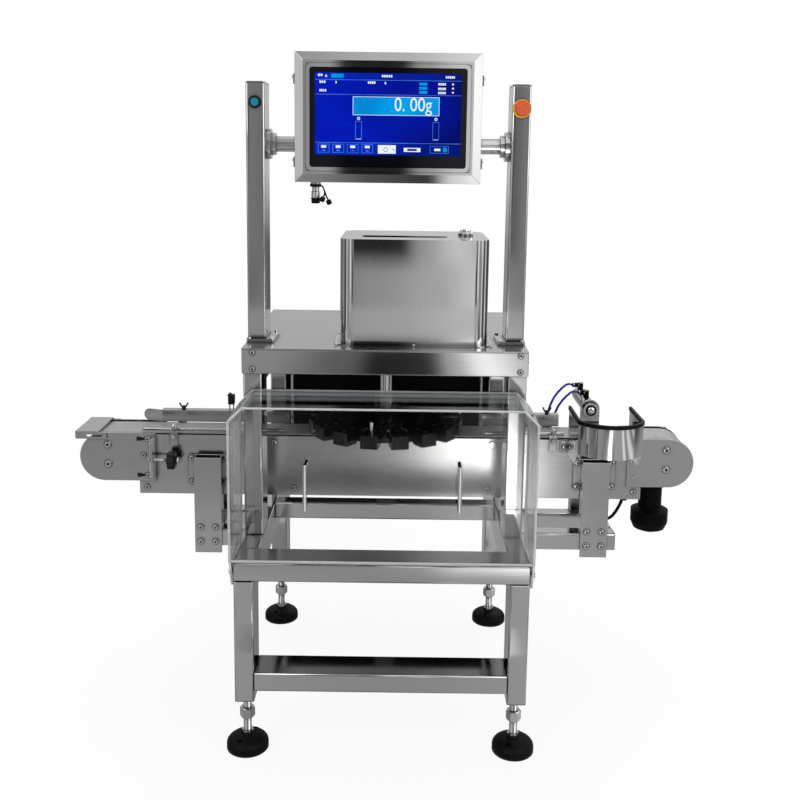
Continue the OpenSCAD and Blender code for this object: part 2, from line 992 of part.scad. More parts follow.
// Flange bearings inside the end plates
module roller_bearings() {
    color(black)
        for (x = [tail_x, head_x])
            both_faces()
                difference() {
                    union() {
                        rod_y(x, conv_front, conv_front + bearing_t, roller_z, 2.2 * journal_d);
                        block([x - 10, conv_front, roller_z - 34], [x + 10, conv_front + 5, roller_z + 34]);
                    }
                    rod_y(x, conv_front - through, conv_front + bearing_t + through, roller_z,
                        journal_d + 2 * run);
                }
}

// Roller drum with its journals
module roller(x, back_reach) {
    drum = belt_w / 2 - 1;
    color(polished) {
        rod_y(x, conv_y - drum, conv_y + drum, roller_z, 2 * roller_r);
        rod_y(x, conv_front + through, conv_y - drum, roller_z, journal_d);
        rod_y(x, conv_y + drum, conv_back + back_reach, roller_z, journal_d);
    }
}

module tail_roller() {
    roller(tail_x, -through);
}

module head_roller() {
    roller(head_x, plate_t + 40);
}

// Endless belt around both rollers
module belt_loop_2d(r) {
    translate([tail_x, roller_z - r])
        square([belt_span, 2 * r]);
    for (x = [tail_x, head_x])
        translate([x, roller_z])
            circle(r = r, $fn = 96);
}

module belt() {
    inner = roller_r + loose;
    color(black)
        translate([0, conv_y + belt_w / 2, 0])
            rotate([90, 0, 0])
                linear_extrude(belt_w)
                    difference() {
                        belt_loop_2d(inner + belt_t);
                        belt_loop_2d(inner);
                    }
}

// Slide bed under the carrying run, on spacers that hold the side plates apart
module slider_bed() {
    low = bed_top - bed_t;
    reach = end_r + 13;
    color(steel) {
        block([tail_x + reach, conv_y - belt_w / 2 + 2, low], [head_x - reach, conv_y + belt_w / 2 - 2, bed_top]);
        for (x = spacer_x)
            rod_y(x, conv_front + plate_t, conv_back - plate_t, low - spacer_d / 2, spacer_d);
    }
}

// Infeed transfer plate on slotted arms at the tail end
module infeed_plate() {
    plate_z = roller_z + end_r + loose;
    left = tail_x - end_r - 8;
    arm_low = plate_z - 15;
    face = conv_front - plate_t;
    color(steel) {
        block([left, conv_front - plate_t - 4, plate_z], [tail_x - 12, conv_back + plate_t + 4, plate_z + 3]);
        both_faces()
            difference() {
                block([left, face - 4, arm_low], [tail_x + 6, face, plate_z]);
                block([tail_x - 40, face - 4 - through, arm_low + 5], [tail_x - 4, face + through, plate_z - 5]);
            }
    }
}

// Six-lobed tension knob on its screw, which turns in the lug of the tail plate
module tension_knob() {
    grip = knob_d / 2;
    knob_t = 18;
    left = knob_x - knob_t / 2;
    color(black) {
        difference() {
            rod_x(left, left + knob_t, knob_y, roller_z, knob_d);
            for (a = [0 : 60 : 300])
                translate([left - through, knob_y, roller_z])
                    rotate([a, 0, 0])
                        translate([0, grip + 5, 0])
                            rotate([0, 90, 0])
                                cylinder(d = knob_t, h = knob_t + 2 * through);
        }
        rod_x(left + knob_t, left + knob_t + 10, knob_y, roller_z, 14);
        rod_x(tail_plate_right - plate_t - 8, left, knob_y, roller_z, knob_rod_d);
    }
}

// Channel legs from the side plates down to the support beams
module conveyor_leg(x) {
    half = channel_w / 2;
    face = conv_front;
    web = beam_y[0];
    low = beam_z - 16;
    pad_half = leg_pad_w / 2;
    color(steel)
        both_faces() {
            block([x - pad_half, face - plate_t, leg_top - leg_pad_h], [x + pad_half, face, leg_top]);
            block([x - half, web - leg_sheet, low], [x + half, web, leg_top]);
            for (s = [-1, 1])
                translate([x + s * (half - leg_sheet / 2) - leg_sheet / 2, web, beam_z + beam_s])
                    cube([leg_sheet, face - plate_t - web, leg_top - beam_z - beam_s]);
        }
}

module conveyor_legs() {
    conveyor_leg(leg_left);
    conveyor_leg(leg_right);
}

// Square support beams out from the frame's sides
module support_beams() {
    left_end = leg_left - channel_w / 2 + 4;
    right_end = leg_right + beam_tail;
    gap = beam_y[1] - beam_y[0] - beam_s;
    color(steel) {
        for (y = beam_y) {
            tube_x(left_end, y, beam_z, beam_s, beam_s, -half_w - left_end);
            tube_x(half_w, y, beam_z, beam_s, beam_s, right_end - half_w);
        }
        for (x = [left_end, right_end - beam_s])
            tube_y(x, beam_y[0] + beam_s + run, beam_z, beam_s, beam_s, gap - 2 * run);
    }
}

// Right-angle gearmotor on the back of the head end, motor hanging down under a ribbed cowl
module belt_gearmotor() {
    box_y = conv_back + plate_t;
    motor_y = box_y + gear_d / 2;
    box_low = roller_z - gear_w / 2 - 4;
    neck = gear_d / 2 - 4;
    cowl = motor_cowl_d / 2;
    cowl_top = motor_h - motor_cowl_h;
    color(black) {
        difference() {
            block([head_x - gear_w / 2, box_y, box_low], [head_x + gear_w / 2, box_y + gear_d, roller_z + gear_w / 2]);
            rod_y(head_x, box_y - through, box_y + gear_d + through, roller_z, journal_d + 2 * run);
        }
        translate([head_x, motor_y, box_low])
            mirror([0, 0, 1])
                rotate_extrude()
                    polygon([[0, 0], [neck + 3, 0], [neck + 3, 8], [neck, 12], [neck, cowl_top - 8], [cowl, cowl_top],
                        [cowl, motor_h - 22], [cowl - 7, motor_h - 6], [cowl - 21, motor_h], [0, motor_h]]);
        block([terminal_x - terminal_w / 2, motor_y - 14, box_low - 60], [head_x - neck / 2, motor_y + 14, box_low - 28]);
    }
}

// Back guide rail: an angle with, at the infeed, a rounded tongue that flares away from the belt
module guide_back(x0, x1) {
    block([x0, guide_y, guide_z], [x1, guide_y + guide_t, guide_z + guide_h]);
    block([x0, guide_y + guide_t, guide_z + guide_h - guide_t], [x1, conv_back + 6, guide_z + guide_h]);
}

module guide_tongue(x) {
    len = 34;
    translate([x, guide_y, guide_z])
        rotate(-18)
            translate([0, guide_t, 0])
                rotate([90, 0, 0])
                    linear_extrude(guide_t) {
                        translate([-len, 0])
                            square([len + 1, guide_h]);
                        translate([-len, guide_h / 2])
                            circle(d = guide_h);
                    }
}

// Guide rails beside the belt, with the brackets that hold them on the side plates
module guides() {
    bar_d = 8;
    bar_y = conv_y - belt_w / 2 + 4;
    color(steel) {
        guide_tongue(guide_left);
        guide_back(guide_left, -guide_in);
        guide_back(guide_in, guide_right);
        for (x = guide_posts)
            block([x - 10, conv_back, plate_top - 40], [x + 10, conv_back + plate_t, guide_z + guide_h - guide_t]);
        for (span = [[guide_left - 25, -guide_in], [guide_in, guide_right]])
            rod_x(span[0], span[1], bar_y, guide_z + bar_d / 2, bar_d);
        for (x = guide_clamps) {
            block([x - 8, conv_front - plate_t, plate_top - 26], [x + 8, conv_front, guide_z + 1]);
            block([x - 8, conv_front - plate_t, guide_z + 1], [x + 8, bar_y, guide_z + 5]);
        }
    }
}

// Infeed sensor on its rod, clamped to the back side plate
module infeed_sensor() {
    x = -373;
    y = conv_back + 12;
    color(black) {
        block([x - 9, conv_back, plate_top - 34], [x + 9, y + 6, plate_top - 16]);
        translate([x, y, plate_top - 40])
            cylinder(d = 6, h = 76);
        block([x - 7, y - 10, plate_top + 36], [x + 7, y + 12, plate_top + 66]);
        translate([x, y, plate_top + 66])
            cylinder(d = 8, h = 6);
    }
}

// Section of the guard's top, corners and sides, as one strip between two corner points
module guard_strip(a, b, c, d) {
    translate([0, guard_back, 0])
        rotate([90, 0, 0])
            linear_extrude(guard_back - guard_front - guard_t - run)
                polygon([a, b, c, d]);
}

// Clear guard, cemented from flat panels: front, top, bevelled corners and sides with pivot ears
module guard_panels() {
    top_half = guard_half - guard_cut;
    side_top = guard_top - guard_cut;
    inner = guard_half - guard_t;
    bevel = guard_t * tan(22.5);
    ear = 22;
    ear_low = pivot_z - ear;
    color(clear) {
        translate([0, guard_front + guard_t, 0])
            rotate([90, 0, 0])
                linear_extrude(guard_t)
                    polygon([[-guard_half, guard_low], [guard_half, guard_low], [guard_half, side_top],
                        [top_half, guard_top], [-top_half, guard_top], [-guard_half, side_top]]);
        guard_strip([-top_half + run, guard_top], [top_half - run, guard_top],
            [top_half - bevel - run, guard_top - guard_t], [-top_half + bevel + run, guard_top - guard_t]);
        both_sides()
            guard_strip([guard_half, side_top + run], [top_half, guard_top],
                [top_half - bevel, guard_top - guard_t], [inner, side_top - bevel + run]);
        both_sides()
            difference() {
                translate([inner, 0, 0])
                    rotate([90, 0, 90])
                        linear_extrude(guard_t)
                            polygon([[guard_front + guard_t + run, guard_low],
                                [guard_front + guard_t + run, side_top - bevel], [guard_back, side_top - bevel],
                                [guard_back, guard_low], [pivot_y + ear, ear_low], [pivot_y - ear, ear_low]]);
                rod_x(inner - through, guard_half + through, pivot_y, pivot_z, screw_d + 2 * run);
            }
    }
}

// Wing screws that the guard turns on, in the plugs of the front rail
module guard_screws() {
    head = guard_half + loose;
    color(polished)
        both_sides() {
            rod_x(half_w - plug_t, head + 6, pivot_y, pivot_z, screw_d);
            rod_x(head, head + 6, pivot_y, pivot_z, 2 * screw_d);
            for (s = [-1, 1])
                translate([head + 3, pivot_y, pivot_z])
                    rotate([s * 35, 0, 0])
                        translate([0, 0, 11])
                            rotate([0, 90, 0])
                                cylinder(d = 12, h = 3, center = true);
        }
}

// Bent rod handles on the guard's front panel
module guard_handles() {
    color(polished)
        for (x = [-pull_x, pull_x])
            translate([x, guard_front, pull_z]) {
                for (s = [-1, 1])
                    translate([0, 0, s * (pull_len - pull_d) / 2])
                        rotate([90, 0, 0])
                            cylinder(d = pull_d, h = pull_out);
                translate([0, -pull_out, -pull_len / 2])
                    cylinder(d = pull_d, h = pull_len);
            }
}

// Plan of the reject guard: straight walls and a curved front, grown by a margin
module pocket_plan(grow) {
    half = pocket_w / 2 + grow;
    r = (pow(pocket_w / 2, 2) + pow(pocket_bulge, 2)) / (2 * pocket_bulge) + grow;
    bend_y = pocket_y + pocket_bulge;
    translate([pocket_x - half, bend_y])
        square([2 * half, pocket_back - bend_y]);
    intersection() {
        translate([pocket_x, pocket_y - grow + r])
            circle(r = r, $fn = 96);
        translate([pocket_x - half, pocket_y - 2 * pocket_bulge])
            square([2 * half, 3 * pocket_bulge]);
    }
}

// Ear under a side wall of the reject guard, with a slanted front
module reject_ear(x, back) {
    bend_y = pocket_y + pocket_bulge;
    translate([x, 0, 0])
        rotate([90, 0, 90])
            linear_extrude(pocket_t)
                polygon([[bend_y, pocket_z + 1], [bend_y, pocket_z], [bend_y + ear_slope, ear_low], [back, ear_low],
                    [back, pocket_z + 1]]);
}

// Bent sheet guard in front of the belt, with ears down to the plates that carry it
module reject_guard() {
    left = pocket_x - pocket_w / 2 - pocket_t;
    right = pocket_x + pocket_w / 2;
    head_face = conv_front - plate_t;
    tab = 18;
    color(polished) {
        translate([0, 0, pocket_z])
            linear_extrude(pocket_h)
                difference() {
                    pocket_plan(pocket_t);
                    pocket_plan(0);
                }
        reject_ear(left, conv_front);
        block([left - tab, conv_front - pocket_t, ear_low], [left, conv_front, plate_top - 2]);
        reject_ear(right, head_face);
        block([right + pocket_t, head_face - pocket_t, ear_low], [right + tab, head_face, plate_top - 2]);
    }
}

// Rubber edging pressed over the top edge of the reject guard
module reject_trim() {
    edge = 2;
    grip = 6;
    color(rubber)
        difference() {
            translate([0, 0, pocket_z + pocket_h - grip])
                linear_extrude(grip + edge)
                    difference() {
                        pocket_plan(pocket_t + edge);
                        pocket_plan(-edge);
                    }
            translate([0, 0, pocket_z])
                linear_extrude(pocket_h + run)
                    difference() {
                        pocket_plan(pocket_t + run);
                        pocket_plan(-run);
                    }
        }
}

// Reject cylinder on its bracket behind the belt, with its two port fittings and the bulkhead ports
module reject_unit() {
    nose = pad_y + push_t + 4;
    arm_z = leg_top + 4;
    arm_t = 6;
    half = 23;
    color(steel) {
        difference() {
            union() {
                rod_y(reject_x, nose, nose + cyl_len, push_z, cyl_d);
                rod_y(reject_x, nose, nose + arm_t, push_z, 2 * half);
                block([reject_x - half, nose, arm_z], [reject_x + half, nose + arm_t, push_z]);
                block([reject_x - half, conv_back, arm_z], [reject_x + half, nose, arm_z + 14]);
            }
            rod_y(reject_x, nose - through, nose + stroke + 30, push_z, push_rod_d + 2 * run);
        }
        for (y = port_y)
            translate([reject_x, y, push_z + cyl_d / 2 - 2]) {
                cylinder(d = 13, h = 20);
                translate([0, 0, port_rise + 2])
                    rotate([0, -90, 0])
                        cylinder(d = 11, h = port_reach);
            }
        for (y = port_y)
            rod_x(half_w, half_w + port_t, y, bulkhead_z, 2 * air_d);
    }
}

// Pusher pad with its rod
module reject_pusher() {
    color(polished) {
        rod_y(reject_x, pad_y, pad_y + push_t, push_z, push_d);
        rod_y(reject_x, pad_y + push_t, pad_y + push_t + stroke + 24, push_z, push_rod_d);
    }
}

// A point on the smooth curve through four points, between the second and the third
function curve_point(p, t) = 0.5 * (2 * p[1] + (p[2] - p[0]) * t
    + (2 * p[0] - 5 * p[1] + 4 * p[2] - p[3]) * t * t
    + (3 * p[1] - p[0] - 3 * p[2] + p[3]) * t * t * t);

// Points along the smooth curve through a route, with a number of steps to each leg
function curve(route, steps) = let (n = len(route)) concat(
    [for (i = [0 : n - 2], k = [0 : steps - 1])
        curve_point([route[max(i - 1, 0)], route[i], route[i + 1], route[min(i + 2, n - 1)]], k / steps)],
    [route[n - 1]]);

function unit(v) = v / norm(v);

// Direction of travel at each point of a path
function heading(path, i) = unit(path[min(i + 1, len(path) - 1)] - path[max(i - 1, 0)]);

// Round tube of eight sides swept along a route
module swept_tube(route, d) {
    sides = 8;
    path = curve(route, 3);
    n = len(path);
    points = [for (i = [0 : n - 1])
        let (h = heading(path, i), u = unit(cross(h, [0.2, 1, 0.1])), v = cross(h, u))
        for (k = [0 : sides - 1]) path[i] + d / 2 * (u * cos(360 * k / sides) + v * sin(360 * k / sides))];
    skin = [for (i = [0 : n - 2], k = [0 : sides - 1])
        let (a = i * sides, b = a + sides, m = (k + 1) % sides) [a + k, b + k, b + m, a + m]];
    ends = [[for (k = [0 : sides - 1]) k], [for (k = [sides - 1 : -1 : 0]) (n - 1) * sides + k]];
    polyhedron(points, concat(skin, ends), convexity = 6);
}

// Air tubes from the cylinder's ports, behind the belt, to the bulkhead ports on the frame
module air_tubes() {
    start_x = reject_x - port_reach;
    start_z = push_z + cyl_d / 2 + port_rise;
    drop = start_z - bulkhead_z;
    back = start_x - half_w - port_t;
    color("blue")
        for (y = port_y)
            swept_tube([[start_x, y, start_z], [start_x - 0.11 * back, y, start_z],
                [start_x - 0.30 * back, y, start_z - 0.13 * drop], [start_x - 0.41 * back, y, start_z - 0.33 * drop],
                [start_x - 0.50 * back, y, start_z - 0.56 * drop], [start_x - 0.66 * back, y, start_z - 0.82 * drop],
                [half_w + port_t + 0.16 * back, y, bulkhead_z + 0.02 * drop], [half_w + port_t, y, bulkhead_z]], air_d);
}

// Cable from the belt motor's terminal box into the open end of the rear support beam
module motor_cable() {
    y = conv_back + plate_t + gear_d / 2;
    mid_y = beam_y[1] + beam_s / 2;
    mid_z = beam_z + beam_s / 2;
    end_x = leg_right + beam_tail;
    drop = terminal_low - mid_z;
    color(rubber)
        swept_tube([[terminal_x, y, terminal_low], [terminal_x, y, terminal_low - drop / 5],
            [terminal_x - 10, y - 8, terminal_low - 0.56 * drop], [end_x + 26, mid_y + 6, mid_z + 0.1 * drop],
            [end_x + 4, mid_y, mid_z], [end_x - 14, mid_y, mid_z]], cable_d);
}

front_legs();
rear_columns();
front_rails();
side_rails();
cross_rails();
front_columns();
tube_plugs();
foot_pads();
foot_stems();
foot_nuts();
deck_plate();
deck_aprons();
body_panels();
screen_posts();
post_plates();
tilt_flanges();
start_collar();
start_button();
stop_collar();
stop_button();
screen_housing();
screen_bezel();
screen_trim();
screen_glass();
screen_computer();
screen_plug();
drive_housing();
drive_top();
drive_gearmotor();
shaft_bearing();
star_shaft();
star_disc();
star_blocks();
star_hub();
transfer_table();
weigh_pan();
load_cell();
side_plates();
end_plates();
roller_bearings();
tail_roller();
head_roller();
belt();
slider_bed();
infeed_plate();
tension_knob();
conveyor_legs();
support_beams();
belt_gearmotor();
guides();
infeed_sensor();
guard_panels();
guard_handles();
guard_screws();
reject_guard();
reject_trim();
reject_unit();
reject_pusher();
air_tubes();
motor_cable();
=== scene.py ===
"""Looks of a rotary checkweigher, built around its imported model, in the model's own frame.

The frame and the stage are in metres. Pieces are written in millimetres and made with MM.
"""
import math

import bmesh
import bpy
from mathutils import Matrix, Vector


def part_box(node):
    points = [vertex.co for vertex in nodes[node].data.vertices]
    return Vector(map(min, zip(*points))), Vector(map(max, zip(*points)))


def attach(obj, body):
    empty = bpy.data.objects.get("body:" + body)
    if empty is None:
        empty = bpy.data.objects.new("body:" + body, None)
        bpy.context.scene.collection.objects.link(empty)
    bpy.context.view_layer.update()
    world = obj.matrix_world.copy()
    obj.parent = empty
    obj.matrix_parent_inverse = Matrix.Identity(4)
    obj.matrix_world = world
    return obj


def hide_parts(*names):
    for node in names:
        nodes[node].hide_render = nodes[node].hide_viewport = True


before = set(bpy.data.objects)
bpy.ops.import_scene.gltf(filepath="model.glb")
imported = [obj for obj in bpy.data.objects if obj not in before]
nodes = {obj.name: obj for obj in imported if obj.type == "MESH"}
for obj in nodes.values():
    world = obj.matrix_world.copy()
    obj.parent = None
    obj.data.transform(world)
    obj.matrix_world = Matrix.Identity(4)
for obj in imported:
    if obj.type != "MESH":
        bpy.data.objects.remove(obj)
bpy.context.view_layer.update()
scene = bpy.context.scene
MM = 0.001

# Camera
CAMERA_PLACE = (0.030, -2.230, 1.241)
PITCH = math.radians(8.9)
ROLL = math.radians(0.75)
cam_data = bpy.data.cameras.new("camera")
cam_data.lens = 45
cam_data.sensor_width = 36
cam_data.shift_y = -0.11
camera = bpy.data.objects.new("camera", cam_data)
scene.collection.objects.link(camera)
camera.matrix_world = (
    Matrix.Translation(CAMERA_PLACE)
    @ Matrix.Rotation(math.pi / 2 - PITCH, 4, "X")
    @ Matrix.Rotation(ROLL, 4, "Z")
)
scene.camera = camera
scene.view_settings.view_transform = "Standard"


# Shader tools
def new_material(name):
    mat = bpy.data.materials.new(name)
    mat.use_nodes = True
    tree = mat.node_tree
    tree.nodes.clear()
    out = tree.nodes.new("ShaderNodeOutputMaterial")
    bsdf = tree.nodes.new("ShaderNodeBsdfPrincipled")
    tree.links.new(bsdf.outputs[0], out.inputs["Surface"])
    return mat, tree, bsdf


def noise(tree, stretch, detail):
    """Noise in the model's frame, stretched by a scale for each axis."""
    coord = tree.nodes.new("ShaderNodeTexCoord")
    mapping = tree.nodes.new("ShaderNodeMapping")
    mapping.inputs["Scale"].default_value = stretch
    tex = tree.nodes.new("ShaderNodeTexNoise")
    tex.inputs["Scale"].default_value = 1.0
    tex.inputs["Detail"].default_value = detail
    tree.links.new(coord.outputs["Object"], mapping.inputs["Vector"])
    tree.links.new(mapping.outputs["Vector"], tex.inputs["Vector"])
    return tex.outputs["Fac"]


def place_axes(tree):
    """X, Y and Z of the shaded point in the model's frame."""
    coord = tree.nodes.new("ShaderNodeTexCoord")
    split = tree.nodes.new("ShaderNodeSeparateXYZ")
    tree.links.new(coord.outputs["Object"], split.inputs[0])
    return split.outputs


def combine(tree, operation, *values):
    """Math node on sockets and plain numbers."""
    node = tree.nodes.new("ShaderNodeMath")
    node.operation = operation
    for socket, value in zip(node.inputs, values):
        if isinstance(value, float):
            socket.default_value = value
        else:
            tree.links.new(value, socket)
    return node.outputs[0]


def spread(tree, value, low, high, start=0.3, end=0.7):
    """Maps the stretch from start to end onto the stretch from low to high."""
    node = tree.nodes.new("ShaderNodeMapRange")
    node.inputs["From Min"].default_value = start
    node.inputs["From Max"].default_value = end
    node.inputs["To Min"].default_value = low
    node.inputs["To Max"].default_value = high
    tree.links.new(value, node.inputs["Value"])
    return node.outputs["Result"]


def blend_colour(tree, value, low, high, start=0.3, end=0.7):
    """Ramp from one colour to another."""
    node = tree.nodes.new("ShaderNodeValToRGB")
    node.color_ramp.elements[0].position = start
    node.color_ramp.elements[1].position = end
    node.color_ramp.elements[0].color = (*low, 1)
    node.color_ramp.elements[1].color = (*high, 1)
    tree.links.new(value, node.inputs["Fac"])
    return node.outputs["Color"]


def mix_colours(tree, factor):
    """Colour mix by a factor: its first colour, its second colour and its result."""
    node = tree.nodes.new("ShaderNodeMix")
    node.data_type = "RGBA"
    tree.links.new(factor, node.inputs[0])
    return node.inputs[6], node.inputs[7], node.outputs[2]


def add_bump(tree, bsdf, value, strength, distance):
    node = tree.nodes.new("ShaderNodeBump")
    node.inputs["Strength"].default_value = strength
    node.inputs["Distance"].default_value = distance
    tree.links.new(value, node.inputs["Height"])
    tree.links.new(node.outputs["Normal"], bsdf.inputs["Normal"])


def tint(tone, k):
    return tuple(min(1.0, c * k) for c in tone)


def painted_crease_shade(tree, colour, dark):
    """Painted shade: darkens a colour in seams and tight corners, where shade falls."""
    seam = tree.nodes.new("ShaderNodeAmbientOcclusion")
    seam.samples = 6
    seam.inputs["Distance"].default_value = 0.012
    in_shade, out_of_shade, result = mix_colours(tree, spread(tree, seam.outputs["AO"], 0, 1, 0.42, 0.9))
    in_shade.default_value = (*dark, 1)
    tree.links.new(colour, out_of_shade)
    return result


# Materials
def steel(name, tone, rough, stretch, grain=0.06, wave=0.0):
    """Brushed stainless steel: fine lines along the low axis of stretch, broad smudges in the gloss."""
    mat, tree, bsdf = new_material(name)
    bsdf.inputs["Metallic"].default_value = 1.0
    lines = noise(tree, stretch, 4)
    smudge = noise(tree, (7, 7, 7), 3)
    brushed = blend_colour(tree, lines, tint(tone, 1 - grain), tint(tone, 1 + grain))
    # Base colour with painted shade in seams and tight corners
    tree.links.new(painted_crease_shade(tree, brushed, tint(tone, 0.16)), bsdf.inputs["Base Color"])
    worn = combine(tree, "MULTIPLY_ADD", lines, 0.35, smudge)
    gloss = spread(tree, worn, rough * 0.75, rough * 1.35, 0.4, 0.95)
    tree.links.new(gloss, bsdf.inputs["Roughness"])
    if wave:
        add_bump(tree, bsdf, noise(tree, (3.2, 3.2, 1.7), 2), wave, 0.02)
    else:
        add_bump(tree, bsdf, lines, 0.015, 0.0004)
    return mat


def plastic(name, tone, rough, grain, depth, vary=0.12, shine=0.5, coat=0.0):
    """Moulded or painted surface: fine pebble, slightly uneven colour and gloss."""
    mat, tree, bsdf = new_material(name)
    bsdf.inputs["Specular IOR Level"].default_value = shine
    bsdf.inputs["Coat Weight"].default_value = coat
    pebble = noise(tree, (grain, grain, grain), 2)
    cloud = noise(tree, (22, 22, 22), 3)
    colour = blend_colour(tree, cloud, tint(tone, 1 - vary), tint(tone, 1 + vary))
    tree.links.new(colour, bsdf.inputs["Base Color"])
    tree.links.new(spread(tree, cloud, rough * 0.85, rough * 1.15), bsdf.inputs["Roughness"])
    add_bump(tree, bsdf, pebble, depth, 0.0003)
    return mat


def clear_sheet(name, low, high, tone, metallic=1.0):
    """Clear sheet: see-through face on, a mirror at a low angle."""
    mat, tree, bsdf = new_material(name)
    bsdf.inputs["Metallic"].default_value = metallic
    smear = noise(tree, (9, 9, 4), 3)
    tree.links.new(blend_colour(tree, smear, tint(tone, 0.96), tone), bsdf.inputs["Base Color"])
    tree.links.new(spread(tree, smear, 0.02, 0.06), bsdf.inputs["Roughness"])
    weight = tree.nodes.new("ShaderNodeLayerWeight")
    weight.inputs["Blend"].default_value = 0.30
    tree.links.new(spread(tree, weight.outputs["Fresnel"], low, high, 0.03, 0.75), bsdf.inputs["Alpha"])
    return mat


def lit(name, low, high, stretch, across_x=False):
    """Backlit display colour that shades gently over the panel, or from its right to its left."""
    mat, tree, bsdf = new_material(name)
    value = noise(tree, stretch, 1)
    start, end = 0.35, 0.65
    if across_x:
        value = combine(tree, "MULTIPLY_ADD", place_axes(tree)["X"], -3.0, value)
        start, end = 0.05, 0.95
    tree.links.new(blend_colour(tree, value, low, high, start, end), bsdf.inputs["Emission Color"])
    bsdf.inputs["Base Color"].default_value = (0, 0, 0, 1)
    bsdf.inputs["Emission Strength"].default_value = 1.0
    bsdf.inputs["Roughness"].default_value = 0.25
    bsdf.inputs["Specular IOR Level"].default_value = 0.03
    return mat


ALONG_X = (9, 1500, 1500)
ALONG_Y = (1500, 9, 1500)
ALONG_Z = (1500, 1500, 9)
SATIN = (0.60, 0.60, 0.595)
BRIGHT = (0.70, 0.70, 0.695)

MATERIALS = {
    "steel_x": steel("steel_x", SATIN, 0.07, ALONG_X, 0.05),
    "steel_y": steel("steel_y", SATIN, 0.07, ALONG_Y, 0.05),
    "steel_z": steel("steel_z", SATIN, 0.07, ALONG_Z, 0.05),
    "plate": steel("plate", (0.56, 0.56, 0.555), 0.17, ALONG_X, 0.05),
    "bright_x": steel("bright_x", BRIGHT, 0.05, ALONG_X, 0.04, 0.04),
    "bright_z": steel("bright_z", BRIGHT, 0.05, ALONG_Z, 0.04, 0.04),
    "turned": steel("turned", BRIGHT, 0.07, (60, 900, 60)),
    "screw": steel("screw", (0.74, 0.74, 0.73), 0.08, (300, 300, 300)),
    "dark_panel": plastic("dark_panel", (0.003, 0.003, 0.0033), 0.38, 500, 0.06, 0.12, 0.12),
    "black": plastic("black", (0.005, 0.005, 0.0054), 0.36, 900, 0.12, 0.12, 0.3),
    "block": plastic("block", (0.003, 0.003, 0.0033), 0.16, 700, 0.03, 0.2, 0.42),
    "rubber": plastic("rubber", (0.0025, 0.0025, 0.0028), 0.5, 1300, 0.2, 0.12, 0.12),
    "motor": plastic("motor", (0.0015, 0.0015, 0.0017), 0.5, 800, 0.15, 0.12, 0.08),
    "belt": plastic("belt", (0.36, 0.36, 0.355), 0.36, 600, 0.08, 0.05),
    "clear": clear_sheet("clear", 0.01, 0.85, (0.93, 0.95, 0.96)),
    # Pale, almost opaque sheet for the guard's edge bars: a painted highlight
    "clear_edge": clear_sheet("clear_edge", 0.62, 0.95, (0.93, 0.95, 0.95), 0.0),
    "glass": plastic("glass", (0.002, 0.0025, 0.005), 0.07, 60, 0.0, 0.1, 0.25),
    "cell": steel("cell", (0.66, 0.66, 0.65), 0.32, (160, 160, 160)),
    "green": plastic("green", (0.002, 0.20, 0.27), 0.34, 500, 0.05, 0.08, 0.12),
    "red": plastic("red", (0.60, 0.085, 0.018), 0.34, 500, 0.05, 0.08, 0.25, 0.05),
    "yellow": plastic("yellow", (0.80, 0.50, 0.03), 0.38, 500, 0.05, 0.08, 0.25),
    "blue": plastic("blue", (0.010, 0.028, 0.38), 0.25, 400, 0.03, 0.1, 0.4, 0.2),
    "lcd": lit("lcd", (0.0008, 0.0030, 0.10), (0.0008, 0.0115, 0.50), (4.5, 1, 6.5), True),
    "lcd_bar": lit("lcd_bar", (0.0015, 0.006, 0.13), (0.0015, 0.022, 0.55), (4.5, 1, 6.5), True),
    "lcd_cyan": lit("lcd_cyan", (0.0, 0.24, 0.66), (0.0, 0.36, 0.86), (9, 1, 9)),
    "lcd_line": lit("lcd_line", (0.05, 0.16, 0.60), (0.10, 0.27, 0.75), (20, 1, 20)),
    "lcd_white": lit("lcd_white", (0.80, 0.88, 0.92), (0.90, 0.94, 0.96), (30, 1, 30)),
}

LOOKS = {
    "steel_x": "front_rails cross_rails support_beams transfer_table weigh_pan",
    "plate": "deck_plate side_plates end_plates slider_bed guides infeed_plate conveyor_legs",
    "steel_y": "side_rails",
    "steel_z": "front_legs rear_columns front_columns screen_posts post_plates",
    "bright_x": "deck_aprons screen_housing screen_bezel screen_trim drive_top",
    "bright_z": "drive_housing reject_guard star_shaft guard_handles",
    "turned": "tilt_flanges screen_plug shaft_bearing tail_roller head_roller reject_unit reject_pusher",
    "screw": "foot_stems foot_nuts guard_screws",
    # body_panels take this near-black finish as painted shade: the rear cabinet sits in shade under the deck
    "dark_panel": "body_panels screen_computer",
    "black": "tube_plugs tension_knob infeed_sensor roller_bearings start_collar",
    "block": "star_disc star_blocks star_hub",
    "rubber": "foot_pads reject_trim motor_cable",
    "motor": "drive_gearmotor belt_gearmotor",
    "belt": "belt",
    "clear": "guard_panels",
    "glass": "screen_glass",
    "cell": "load_cell",
    "green": "start_button",
    "red": "stop_button",
    "yellow": "stop_collar",
    "blue": "air_tubes",
}
for look, names in LOOKS.items():
    for name in names.split():
        mesh = nodes[name].data
        mesh.materials.clear()
        mesh.materials.append(MATERIALS[look])


# Mesh tools
def link_mesh(name, bm, look, body, smooth=35):
    """Makes an object of a built mesh, with one look or several, that rides on a body."""
    mesh = bpy.data.meshes.new(name)
    bmesh.ops.recalc_face_normals(bm, faces=bm.faces)
    bm.to_mesh(mesh)
    bm.free()
    for one in look if isinstance(look, list) else [look]:
        mesh.materials.append(MATERIALS[one])
    obj = bpy.data.objects.new(name, mesh)
    scene.collection.objects.link(obj)
    mesh.shade_smooth()
    mesh.set_sharp_from_angle(angle=math.radians(smooth))
    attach(obj, body)
    return obj


